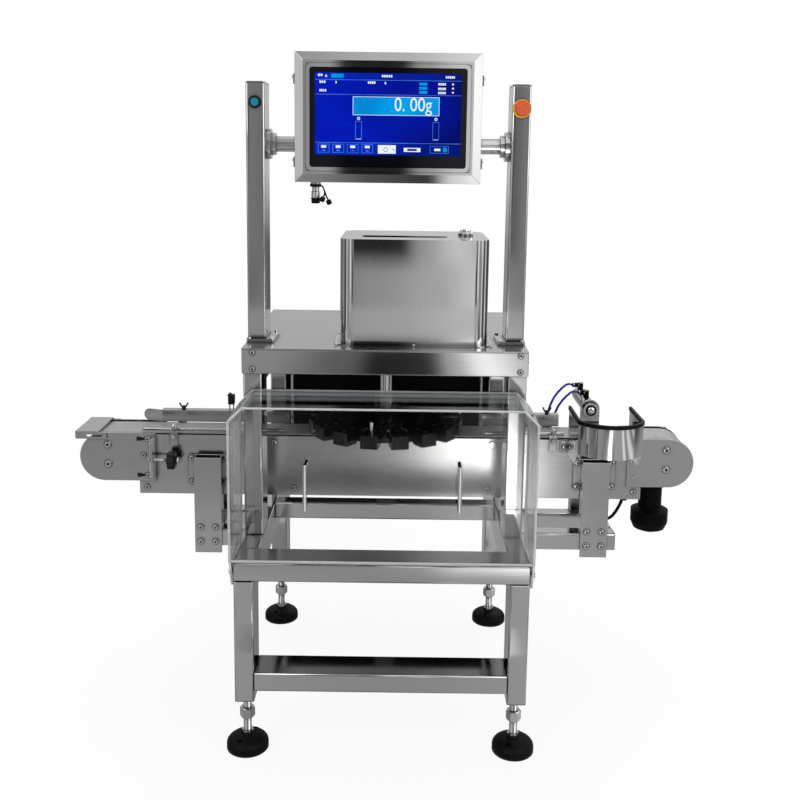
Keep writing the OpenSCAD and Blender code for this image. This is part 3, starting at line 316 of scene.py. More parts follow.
def across(axis):
    """Two unit vectors square to an axis and to each other."""
    side = Vector((0, 0, 1)) if abs(axis.z) < 0.9 else Vector((1, 0, 0))
    u = side.cross(axis).normalized()
    return u, axis.cross(u).normalized()


def ring_radius(radius, angle, sides):
    """Radius of a ring at an angle, round or with flat sides."""
    if not sides:
        return radius
    part = 2 * math.pi / sides
    return radius * math.cos(part / 2) / math.cos(angle % part - part / 2)


def turned(bm, base, axis, rings, segs=24, paint=0):
    """Turned piece in millimetres: rings of radius, height and perhaps flat sides, up an axis from a base."""
    base = Vector(base) * MM
    axis = Vector(axis).normalized()
    u, v = across(axis)
    last = None
    for radius, height, *sides in rings:
        centre = base + axis * height * MM
        row = []
        for k in range(segs if radius else 1):
            a = 2 * math.pi * k / segs
            r = ring_radius(radius, a, sides[0] if sides else 0) * MM
            row.append(bm.verts.new(centre + (u * math.cos(a) + v * math.sin(a)) * r))
        if last:
            n = max(len(last), len(row))
            for k in range(n if n > 1 else 0):
                m = (k + 1) % n
                loop = [last[k % len(last)], last[m % len(last)], row[m % len(row)], row[k % len(row)]]
                bm.faces.new(list(dict.fromkeys(loop))).material_index = paint
        last = row


def box(bm, low, high, paint=0, edge=0.0):
    """Block in millimetres, with bevelled edges where an edge is given."""
    part = bmesh.new()
    low, high = Vector(low) * MM, Vector(high) * MM
    bmesh.ops.create_cube(part, size=1.0)
    for vert in part.verts:
        vert.co = Vector((a + (b - a) * (c + 0.5) for a, b, c in zip(low, high, vert.co)))
    if edge:
        bmesh.ops.bevel(part, geom=part.edges[:], offset=edge * MM, segments=2, affect="EDGES", profile=0.6)
    merge(bm, part, paint)


def merge(bm, part, paint=0, matrix=None):
    """Adds one mesh to another and frees it."""
    made = {}
    for vert in part.verts:
        made[vert] = bm.verts.new(matrix @ vert.co if matrix else vert.co)
    for face in part.faces:
        new = bm.faces.new([made[v] for v in face.verts])
        new.material_index = paint or face.material_index
    part.free()


def tube(bm, points, d, segs=10, paint=0):
    """Round rod through points in millimetres."""
    path = [Vector(p) * MM for p in points]
    normal = None
    rows = []
    for i, point in enumerate(path):
        ahead = (path[min(i + 1, len(path) - 1)] - path[max(i - 1, 0)]).normalized()
        if normal is None:
            normal = across(ahead)[0]
        normal = (normal - ahead * normal.dot(ahead)).normalized()
        other = ahead.cross(normal)
        row = []
        for k in range(segs):
            a = 2 * math.pi * k / segs
            row.append(bm.verts.new(point + (normal * math.cos(a) + other * math.sin(a)) * d / 2 * MM))
        rows.append(row)
    for last, row in zip(rows, rows[1:]):
        for k in range(segs):
            m = (k + 1) % segs
            bm.faces.new([last[k], last[m], row[m], row[k]]).material_index = paint
    bm.faces.new(rows[0][::-1]).material_index = paint
    bm.faces.new(rows[-1]).material_index = paint


# Fasteners: head diameter d, head height h and washer diameter
SUNK = 0.2
HEX = 6


def cap_screw(bm, at, axis, d, h, washer=0.0):
    """Socket screw with a rounded rim and a hexagon socket, on a washer if it has one. With a washer it also
    gets a thin black ring round the washer's foot, a painted shadow, and a black floor in its socket, painted
    shade.
    """
    base = -SUNK
    r = d / 2
    if washer:
        rim, edge = washer / 2 + 1.1, washer / 2
        # Thin black ring round the foot of the washer: painted shadow
        turned(bm, at, axis, [(0, base), (rim, base), (rim, 0.25), (rim - 0.2, 0.35), (0, 0.35)], paint=1)
        turned(bm, at, axis, [(0, base), (edge, base), (edge, 1.0), (edge - 0.4, 1.4), (0, 1.4)])
        base = 1.2
        # Black disc at the floor of the socket: painted shade in the recess
        turned(bm, at, axis, [(0, base + h * 0.42), (0.53 * r, base + h * 0.42, HEX)], paint=1)
    top, floor = base + h, base + h * 0.4
    turned(bm, at, axis, [(0, base), (r, base), (r, top - 1), (r - 0.4, top - 0.2), (r - 1, top),
                          (0.56 * r, top, HEX), (0.54 * r, floor, HEX), (0, floor)])


def hex_screw(bm, at, axis, d, h, washer=0.0):
    """Hexagon head with a chamfered top, on its washer if it has one."""
    base = -SUNK
    r = d / 2
    if washer:
        edge = washer / 2
        turned(bm, at, axis, [(0, base), (edge, base), (edge, 1.2), (edge - 0.4, 1.6), (0, 1.6)])
        base = 1.4
    top = base + h
    turned(bm, at, axis, [(0, base), (r, base, HEX), (r, top - 1, HEX), (0.86 * r, top), (0, top)])


def wing(bm, at, axis, spread_axis, size):
    """Wing head: a hub with two ears."""
    at, axis, out = Vector(at), Vector(axis).normalized(), Vector(spread_axis).normalized()
    hub = [(0, 0), (5, 0), (5, 6), (3.5, 9), (0, 9)]
    turned(bm, at, axis, [(r * size, h * size) for r, h in hub])
    reach = ((3, 4), (6, 8), (9, 13), (10.5, 16.5))
    for side in (-1, 1):
        ear = [at + out * side * a * size + axis * b * size for a, b in reach]
        tube(bm, ear, 4.2 * size, 8)


# Rounded edges on folded and sawn steel
def soften(names, width):
    for name in names.split():
        weld = nodes[name].modifiers.new("weld", "WELD")
        weld.merge_threshold = 0.00002
        edge = nodes[name].modifiers.new("edge", "BEVEL")
        edge.width = width * MM
        edge.segments = 2
        edge.limit_method = "ANGLE"
        edge.angle_limit = math.radians(35)
        edge.use_clamp_overlap = True
        edge.harden_normals = True


soften("front_legs rear_columns front_rails side_rails cross_rails front_columns", 2.2)
soften("screen_posts support_beams", 2.2)
soften("deck_aprons conveyor_legs star_blocks", 1.4)
soften("side_plates end_plates infeed_plate post_plates screen_bezel", 0.5)


# Places that several pieces share, taken from the frame, in millimetres
def span(node):
    """Low corner, middle and high corner of a node's box."""
    low, high = (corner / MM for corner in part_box(node))
    return low, (low + high) / 2, high


FRONT, BACK, UP, DOWN = (0, -1, 0), (0, 1, 0), (0, 0, 1), (0, 0, -1)
LEFT, RIGHT = (-1, 0, 0), (1, 0, 0)
DECK_LOW, _, DECK_HIGH = span("deck_plate")
PLATE_LOW, _, PLATE_HIGH = span("side_plates")
BELT_LOW, BELT, BELT_HIGH = span("belt")
TURN_R = (BELT_HIGH.z - BELT_LOW.z) / 2
TAIL_X, HEAD_X = BELT_LOW.x + TURN_R, BELT_HIGH.x - TURN_R
AXLE_Z = BELT.z
PLATE_T = 4
END_FRONT, END_BACK = PLATE_LOW.y - PLATE_T, PLATE_HIGH.y + PLATE_T
SLOT_RISE = 43
CLAMPS_X = (-485, 385)
CLAMP_Z = 619
BLOCKS = 16


# Painted highlights: pale bars along the edges and folds of the clear guard
def guard_highlight_bars():
    low, _, high = span("guard_panels")
    sheet, cut, ear, pivot_y, front_low = 5.0, 30.0, 22.0, -280.0, 430.0
    half = sheet / 2 - 0.2
    front, back, top = low.y + half, high.y - half, high.z - half
    shoulder = high.z - cut
    foot = low.z + half
    bm = bmesh.new()

    def bars(*points):
        for a, b in zip(points, points[1:]):
            tube(bm, [a, b], sheet - 0.3, 4)

    for side in (-1, 1):
        x, inner = side * (high.x - half), side * (high.x - cut)
        bars((x, front, front_low), (x, front, shoulder), (inner, front, top))
        bars((x, front, shoulder), (x, back, shoulder))
        bars((inner, front, top), (inner, back, top))
        bars((x, back, shoulder), (inner, back, top))
        bars((x, back, shoulder), (x, back, front_low), (x, pivot_y + ear, foot), (x, pivot_y - ear, foot),
             (x, front, front_low))
    inner = high.x - cut
    for y in (front, back):
        bars((-inner, y, top), (inner, y, top))
    bars((-high.x + half, front, front_low + half), (high.x - half, front, front_low + half))
    link_mesh("guard_highlight_bars", bm, "clear_edge", "guard", 30)


guard_highlight_bars()


# Fasteners that stay with the frame
def deck_screws(bm):
    """On the aprons, and on the base plates of the posts."""
    for x in (DECK_LOW.x + 23, DECK_HIGH.x - 17):
        for z in (DECK_LOW.z - 6, DECK_LOW.z - 41):
            cap_screw(bm, (x, DECK_LOW.y, z), FRONT, 9, 3.5, 12)
    base_low, _, base_high = span("post_plates")
    base_half, border = 30, 6
    side_rows = (-140, 90, 330)
    base_top = span("screen_posts")[0].z
    for side in (-1, 1):
        for y in side_rows:
            cap_screw(bm, (side * DECK_HIGH.x, y, DECK_LOW.z - 24), (side, 0, 0), 8, 3.2, 11)
        for dx in (border - base_half, base_half - border):
            for y in (base_low.y + border, base_high.y - border):
                hex_screw(bm, (side * (base_high.x - base_half) + dx, y, base_top), UP, 9, 3.5)


def both_faces(bm, x, z, faces, head):
    """The same screw on the front and on the back of the conveyor."""
    cap_screw(bm, (x, faces[0], z), FRONT, *head)
    cap_screw(bm, (x, faces[1], z), BACK, *head)


def conveyor_screws(bm):
    """On the end plates, the side plates and the reject guard's ears."""
    ends = END_FRONT, END_BACK
    plate_spots = ((-549, 476), (575, 478), (-255, 586), (-211, 478), (236, 479))
    ear_spots = ((412, PLATE_LOW.y - 2), (567, END_FRONT - 2))
    for x, rise in ((TAIL_X + 8, 29), (TAIL_X + 8, -17), (HEAD_X - 7, 32), (HEAD_X - 6, -14)):
        both_faces(bm, x, AXLE_Z + rise, ends, (13, 3.4, 17))
    for dx, rise in ((12, 5), (21, SLOT_RISE), (21, -SLOT_RISE)):
        both_faces(bm, PLATE_LOW.x + dx, AXLE_Z + rise, ends, (9, 3, 12))
    for dx, rise in ((17, -33), (23, 4)):
        both_faces(bm, PLATE_HIGH.x - dx, AXLE_Z + rise, ends, (9, 3))
    ear_z = span("reject_guard")[0].z + 13
    for x, y in ear_spots:
        cap_screw(bm, (x, y, ear_z), FRONT, 9, 3, 12)
    for x, z in plate_spots:
        both_faces(bm, x, z, (PLATE_LOW.y, PLATE_HIGH.y), (10, 3.2, 13))
    hex_screw(bm, (246, PLATE_LOW.y, 588), FRONT, 15, 7, 20)


def leg_screws(bm):
    """On the pads and the feet of the conveyor legs."""
    low, _, high = span("conveyor_legs")
    pad_half, pad_h, border = 48, 72, 8
    for leg in (low.x + pad_half, high.x - pad_half):
        for dx in (border - pad_half, pad_half - border):
            for z in (high.z - border, high.z - pad_h + border):
                both_faces(bm, leg + dx, z, (END_FRONT, END_BACK), (10, 5, 14))
        for dx in (-17, 17):
            for z in (low.z + 62, low.z + 28):
                both_faces(bm, leg + dx, z, (low.y, high.y), (10, 5, 15))


def drive_screws(bm):
    """Around the flange of the drive box."""
    low, middle, high = span("drive_housing")
    spots = [(x, y) for x in (low.x + 5.5, middle.x, high.x - 5.5) for y in (low.y + 6, 8, high.y - 6)]
    spots.remove((middle.x, 8))
    for x, y in spots:
        cap_screw(bm, (x, y, DECK_HIGH.z + 2), UP, 7, 3)


def guide_clamps(bm):
    """Bolt, post and wing screw under each end of the front guide."""
    for x in CLAMPS_X:
        hex_screw(bm, (x, END_FRONT, 598), FRONT, 11, 6, 14)
        turned(bm, (x, -2, 611), UP, [(0, 0), (4, 0), (4, 14), (3, 15), (0, 15)], 16)
        turned(bm, (x, 0, CLAMP_Z), FRONT, [(0, 0), (6, 0), (6, 8), (4.5, 9), (0, 9)], 16)
        wing(bm, (x, -7, CLAMP_Z), FRONT, (0.6, 0, 0.8), 0.7)


def frame_screws():
    bm = bmesh.new()
    deck_screws(bm)
    conveyor_screws(bm)
    leg_screws(bm)
    drive_screws(bm)
    guide_clamps(bm)
    link_mesh("frame_screws", bm, ["screw", "black"], "frame")


frame_screws()


# Wing nuts on the rear guides
def wing_nuts():
    bm = bmesh.new()
    seat = span("guides")[2].z - 0.2
    for x in CLAMPS_X:
        wing(bm, (x, 102, seat), UP, RIGHT, 0.95)
    link_mesh("wing_nuts", bm, "black", "frame")


wing_nuts()


# Threads on the levelling stems, below and above the lock nuts
def stem_threads():
    nut_low, _, nut_high = span("foot_nuts")
    leg_low, leg, leg_high = span("front_legs")
    foot_x = leg_high.x - 20
    pad_top, pitch = 42, 2.5
    core, crest, root = 7.9, 8.7, 8.0
    bm = bmesh.new()
    for x in (-foot_x, foot_x):
        for y in (leg.y, span("rear_columns")[1].y):
            for start, end in ((pad_top, nut_low.z), (nut_high.z, leg_low.z)):
                rings = [(core, start)]
                z = start + 1.0
                while z < end - pitch:
                    rings += [(crest, z), (root, z + pitch / 2)]
                    z += pitch
                turned(bm, (x, y, 0), UP, rings + [(core, end)])
    link_mesh("stem_threads", bm, "screw", "frame", 20)


stem_threads()


# Tension knob: threaded rod, ribbed grip and domed nut, all along X
def knob_grip(bm, middle, start):
    """Ribbed grip: six soft lobes, rounded at both faces."""
    segs, lobes, mean, swell = 72, 6, 19.2, 2.4
    rows = []
    for dx, k in ((0, 0.86), (1.5, 0.97), (4, 1.0), (14, 1.0), (16.5, 0.97), (18, 0.86)):
        row = []
        for i in range(segs):
            a = 2 * math.pi * i / segs
            r = (mean + swell * math.cos(lobes * a)) * k
            point = Vector((start + dx, middle.y + r * math.cos(a), middle.z + r * math.sin(a)))
            row.append(bm.verts.new(point * MM))
        if rows:
            for i in range(segs):
                m = (i + 1) % segs
                bm.faces.new([rows[-1][i], rows[-1][m], row[m], row[i]])
        rows.append(row)
    bm.faces.new(rows[0])
    bm.faces.new(rows[-1])


def knob():
    low, middle, high = span("tension_knob")
    at = (0, middle.y, middle.z)
    grip_x = -495
    thread = 1.8
    bm = bmesh.new()
    rod = [(0, low.x), (3.9, low.x)]
    x = low.x + 1
    while x < grip_x - 2:
        rod += [(4.2, x), (3.8, x + thread / 2)]
        x += thread
    turned(bm, at, RIGHT, rod + [(3.8, grip_x), (0, grip_x)], 20, 1)
    knob_grip(bm, middle, grip_x)
    turned(bm, at, RIGHT, [(9, high.x - 10.2), (9, high.x - 7), (8, high.x - 6), (0, high.x - 6)])
    dome = [(0, 6.2), (8, 6.2, HEX), (8, 3.4, HEX), (6.6, 2.6), (5.6, 1.2), (3.4, 0.3), (0, 0)]
    turned(bm, at, RIGHT, [(r, high.x - drop, *sides) for r, drop, *sides in dome], paint=1)
    dot_r = 14
    for i in range(6):
        a = math.radians(60 * i + 30)
        dot = (grip_x - 0.3, middle.y + dot_r * math.cos(a), middle.z + dot_r * math.sin(a))
        turned(bm, dot, LEFT, [(0, -0.4), (2.2, -0.4), (2.2, 0.2), (1.6, 0.5), (0, 0.5)], 12, 1)
    obj = link_mesh("knob", bm, ["black", "screw"], "tension_knob", 40)
    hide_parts("tension_knob")


knob()


# Infeed sensor on its two rods
def sensor():
    low, middle, high = span("infeed_sensor")
    x, y = middle.x, middle.y
    clamp_h, eye_z, head_low, head_high = 18, 655, 644, 667
    bm = bmesh.new()
    box(bm, low, (high.x, high.y, low.z + clamp_h), 0, 1.2)
    cap_screw(bm, (x, high.y - 3, low.z + clamp_h / 2), BACK, 7, 2.6)
    for dx in (-4.6, 4.6):
        tube(bm, [(x + dx, y, low.z + clamp_h - 2), (x + dx, y, head_low + 4)], 3.4, 12, 1)
    box(bm, (x - 7.5, y - 9, head_low), (x + 7.5, y + 9, head_high), 0, 1.6)
    box(bm, (low.x, y - 7, head_high - 2.5), (x + 3, y + 7, head_high + 1), 0, 0.8)
    turned(bm, (x - 3, y, head_high + 0.5), UP, [(0, 0), (3, 0), (3, 3.2), (2.2, 4.4), (0, 4.4)], 16)
    eye = [(0, -0.3), (5, -0.3), (5, 0.6), (4.2, 1.0), (3.6, 0.4), (0, 0.2)]
    turned(bm, (x, y - 9, eye_z), FRONT, eye, 20)
    obj = link_mesh("sensor", bm, ["black", "screw"], "frame", 40)
    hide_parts("infeed_sensor")


sensor()


# Take-up slots in the side plates as thin black patches, painted shade where the plate is cut through; and
# the blocks at their outer ends
def slots():
    x0, x1, half, depth, lift = -569, -535, 4.4, 0.65, 0.05
    bm = bmesh.new()
    for z in (AXLE_Z + SLOT_RISE, AXLE_Z - SLOT_RISE):
        front, back = PLATE_LOW.y - lift, PLATE_HIGH.y + lift
        # Black patches on both faces of the plates: painted shade in the slots
        box(bm, (x0, front - depth, z - half), (x1, front, z + half), 0, 0.2)
        box(bm, (x0, back, z - half), (x1, back + depth, z + half), 0, 0.2)
        box(bm, (x0 - 2, END_FRONT - 0.6, z - 4.8), (x0 + 9, PLATE_LOW.y - 0.5, z + 4.8), 0, 0.8)
    link_mesh("slots", bm, "black", "frame", 40)


slots()


# Cap on the screen's connector, and two dust caps on its strap
def strap():
    low, plug, _ = span("screen_plug")
    x, y = plug.x, plug.y
    bm = bmesh.new()
    cap = [(0, 0), (7.5, 0), (9.4, 1.6), (9.4, 9.5), (10.6, 10), (10.6, 12), (0, 12)]
    turned(bm, (x, y, low.z - 0.6), UP, cap, 28)
    turned(bm, (x, y, 1172), UP, [(10, 0), (12.4, 0.6), (12.4, 5.4), (10, 6)], 28)
    fork = (x + 20, y - 9, 1163)
    outer = [(x + 11, y - 4, 1175), (x + 16, y - 6, 1172), fork, (x + 24, y - 10, 1152),
             (x + 28, y - 10, 1143)]
    inner = [fork, (x + 20, y - 12, 1156), (x + 17, y - 14, 1149)]
    dust_cap = [(0, -2), (4.8, -2), (5.6, 0), (5.6, 7), (4.6, 8.4), (2.2, 9), (0, 9)]
    for points in (outer, inner):
        tube(bm, points, 3.4)
        end, before = Vector(points[-1]), Vector(points[-2])
        turned(bm, end, end - before, dust_cap, 20)
    link_mesh("strap", bm, "rubber", "screen", 40)


strap()


# Steel behind the rounded corners of the screen trim
def trim_corners():
    low, _, high = span("screen_trim")
    side, inset, front, back = 14, 0.3, -118.6, -109
    bm = bmesh.new()
    for x, a in ((low.x + inset, side), (high.x - inset, -side)):
        for z, b in ((low.z + inset, side), (high.z - inset, -side)):
            rows = []
            for y in (front, back):
                corners = ((x, y, z), (x + a, y, z), (x, y, z + b))
                rows.append([bm.verts.new(Vector(p) * MM) for p in corners])
                bm.faces.new(rows[-1])
            for k in range(3):
                m = (k + 1) % 3
                bm.faces.new([rows[0][k], rows[0][m], rows[1][m], rows[1][k]])
    link_mesh("trim_corners", bm, "bright_x", "screen", 40)


trim_corners()


# Push-in fittings on the reject cylinder, the motor's cable gland and its cowl seams
def black_fittings():
    pusher = span("reject_pusher")[1]
    motor = span("belt_gearmotor")[1]
    tubes_low, _, tubes_high = span("air_tubes")
    tube_r, gland_x = 3, 590
    port = [(7.6, 0, HEX), (7.6, 5, HEX), (6.9, 5.4), (6.9, 17.5), (6, 19.5), (3.4, 20.2), (0, 20.3)]
    elbow = [(0, 0), (5.9, 0), (5.9, 10), (5.2, 10.6), (5.2, 12.6), (6.1, 13), (6.1, 14.4), (4.6, 15)]
    bulkhead = [(6, -8, HEX), (6, -1.5, HEX), (5, -0.8), (4.6, 0)]
    gland = [(8.4, 0, HEX), (8.4, 7, HEX), (7.4, 8), (7.4, 20), (6, 25), (4.4, 26)]
    seam = [(27.8, 0), (30.6, 0.3), (31.0, 1.5), (30.6, 2.7), (27.8, 3)]
    bm = bmesh.new()
    for y in (tubes_low.y + tube_r, tubes_high.y - tube_r):
        turned(bm, (pusher.x, y, 654.6), UP, port)
        turned(bm, (pusher.x - 6, y, 668), LEFT, elbow)
        turned(bm, (tubes_low.x, y, 398), RIGHT, bulkhead)
    box(bm, (gland_x - 12, motor.y - 13, 432), (gland_x + 12, motor.y + 13, 447), 0, 1.5)
    turned(bm, (gland_x, motor.y, 432.4), DOWN, gland)
    for z in (388, 444):
        turned(bm, (HEAD_X, motor.y, z), UP, seam, 48)
    link_mesh("black_fittings", bm, "motor", "frame", 40)


black_fittings()


# Clips with their pins on the sides of the screen housing
def clips():
    half_w = span("screen_bezel")[2].x
    clip_h, clip_out, y0, y1 = 22, 4.5, -98, -84
    bm = bmesh.new()
    for side in (-1, 1):
        x0, x1 = sorted((side * (half_w - 0.4), side * (half_w + clip_out)))
        for z in (1225, 1397):
            box(bm, (x0, y0, z - clip_h / 2), (x1, y1, z + clip_h / 2), 0, 1.2)
            pin = (side * (half_w + clip_out - 0.2), (y0 + y1) / 2, z + 4)
            turned(bm, pin, (side, 0, 0), [(0, 0), (3.2, 0), (3.2, 1.6), (2.4, 2.2), (0, 2.2)], 16)
    link_mesh("clips", bm, "screw", "screen", 40)


clips()


# Black socket screws on the star wheel's blocks
def on_star(turns, r):
    """Point on top of the blocks, some block pitches on from the front."""
    a = math.radians(-90 + 360 / BLOCKS * turns)
    return r * math.cos(a), BELT.y + r * math.sin(a), span("star_blocks")[2].z


def block_screws():
    bm = bmesh.new()
    for i in range(BLOCKS):
        for r in (134, 162):
            cap_screw(bm, on_star(i + 0.5, r), UP, 6.5, 1.6)
    link_mesh("block_screws", bm, "black", "star_wheel", 40)


block_screws()


# Steel sleeve on the star wheel's pin
def pin_sleeve():
    bm = bmesh.new()
    sleeve = [(0, 0), (4.6, 0), (4.6, 1.6), (3.6, 2), (3.6, 23.2), (2.8, 24.4), (0, 24.6)]
    turned(bm, on_star(-0.5, 150), UP, sleeve, 20)
    link_mesh("pin_sleeve", bm, "screw", "star_wheel", 40)


pin_sleeve()


# Rubber ring and domed nut on the reject pusher's pad
def pusher_face():
    low, middle, _ = span("reject_pusher")
    at = (middle.x, low.y, middle.z)
    bm = bmesh.new()
    turned(bm, at, FRONT, [(0, -0.3), (13, -0.3), (13, 1.6), (12.2, 2.2), (0, 2.2)], 32, 1)
    turned(bm, at, FRONT, [(0, 2), (8.6, 2), (8.6, 3.4), (6.5, 5), (3, 5.8), (0, 6)], 32)
    link_mesh("pusher_face", bm, ["screw", "rubber"], "reject_pusher", 40)


pusher_face()


# Folded lip at the end of the tail plate: the fold is real, and its brighter steel than the plate's is a
# painted highlight along the edge
def tail_lip():
    proud, sunk, half_h = 2.4, 0.4, 49
    bm = bmesh.new()
    for y0, y1 in ((END_FRONT - proud, END_FRONT + sunk), (END_BACK - sunk, END_BACK + proud)):
        # Brighter steel than the plate: painted highlight on the lip
        box(bm, (-542.5, y0, AXLE_Z - half_h), (-538.8, y1, AXLE_Z + half_h), 0, 0.8)
    link_mesh("tail_lip", bm, "screw", "frame", 40)


tail_lip()


# Screws, and vent slots with their louvres, on the back of the screen; the slots are black patches, painted
# shade where the housing is open
def screen_back():
    low, middle, high = span("screen_housing")
    y = high.y
    inset, head = 14, (7, 2.6, 9)
    bm = bmesh.new()
    for x in (-180, -60, 60, 180):
        for z in (low.z + inset, high.z - inset):
            cap_screw(bm, (x, y, z), BACK, *head)
    for x in (-180, 180):
        cap_screw(bm, (x, y, middle.z), BACK, *head)
    for x0, x1 in ((-140, -70), (70, 140)):
        for k in range(9):
            z = 1350 + 8 * k
            # Black patch in each vent slot: painted shade
            box(bm, (x0, y - 0.6, z), (x1, y + 0.35, z + 3.4), 1, 0.15)
            box(bm, (x0 - 1, y - 0.4, z + 3.2), (x1 + 1, y + 2.2, z + 4.6), 0, 0.4)
    link_mesh("screen_back", bm, ["screw", "black"], "screen", 40)


screen_back()


# Screws on the dark back panel
def panel_screws():
    y = span("body_panels")[2].y
    column = 205
    bm = bmesh.new()
    spots = [(x, z) for z in (442, 545, 660, 770) for x in (-column, column)]
    for x, z in spots + [(0, 442), (0, 770)]:
        cap_screw(bm, (x, y, z), BACK, 9, 3.2, 12)
    link_mesh("panel_screws", bm, ["screw", "black"], "frame", 40)


panel_screws()


# Slat chain on the belt's loop
def slat_chain():
    lift, thick, gap, knuckle = 0.4, 1.7, 0.5, 5.0
    count, steps = 74, 5
    width = (BELT_HIGH.y - BELT_LOW.y) / 2
    r = TURN_R - lift
    straight = HEAD_X - TAIL_X
    loop = 2 * straight + 2 * math.pi * r
    pitch = loop / count
    lanes = [(-width, 0), (-15, 0), (-13, 1), (13, 1), (15, 0), (width, 0)]
    bm = bmesh.new()

    def place(s):
        """Point on the loop's outside, and its turn from the top run."""
        s %= loop
        if s < straight:
            return Vector((TAIL_X + s, 0, AXLE_Z + r)), 0.0
        s -= straight
        if s < math.pi * r:
            a = s / r
            return Vector((HEAD_X + r * math.sin(a), 0, AXLE_Z + r * math.cos(a))), a
        s -= math.pi * r
        if s < straight:
            return Vector((HEAD_X - s, 0, AXLE_Z - r)), math.pi
        a = math.pi + (s - straight) / r
        return Vector((TAIL_X + r * math.sin(a), 0, AXLE_Z + r * math.cos(a))), a

    def slat(start):
        top, low = [], []
        for y, shift in lanes:
            top.append([])
            low.append([])
            for k in range(steps + 1):
                point, a = place(start + gap / 2 + knuckle * shift + (pitch - gap) * k / steps)
                out = Vector((math.sin(a), 0, math.cos(a)))
                base = Vector((point.x, BELT.y + y, point.z))
                top[-1].append(bm.verts.new((base + out * lift) * MM))
                low[-1].append(bm.verts.new((base + out * (lift - thick)) * MM))
        for j in range(len(lanes) - 1):
            for k in range(steps):
                bm.faces.new([top[j][k], top[j][k + 1], top[j + 1][k + 1], top[j + 1][k]])
                bm.faces.new([low[j][k], low[j + 1][k], low[j + 1][k + 1], low[j][k + 1]])
            for k in (0, steps):
                bm.faces.new([top[j][k], top[j + 1][k], low[j + 1][k], low[j][k]])
        for j in (0, len(lanes) - 1):
            for k in range(steps):
                bm.faces.new([top[j][k], top[j][k + 1], low[j][k + 1], low[j][k]])

    for i in range(count):
        slat(i * pitch)
    obj = link_mesh("slat_chain", bm, "belt", "frame", 30)
    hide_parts("belt")


slat_chain()


# Display picture on the screen glass: u runs right and v runs down, as shares of the lit area
def number_mesh():
    """The weight as flat letters, right end at the origin."""
    number = bpy.data.curves.new("number", "FONT")
    number.body = "0. 00g"
    number.size = 0.036
    number.align_x = "RIGHT"
    number.extrude = 0.0001
    holder = bpy.data.objects.new("number", number)
    scene.collection.objects.link(holder)
    bpy.context.view_layer.update()
    letters = bpy.data.meshes.new_from_object(holder.evaluated_get(bpy.context.evaluated_depsgraph_get()))
    bpy.data.objects.remove(holder)
    part = bmesh.new()
    part.from_mesh(letters)
    bpy.data.meshes.remove(letters)
    return part


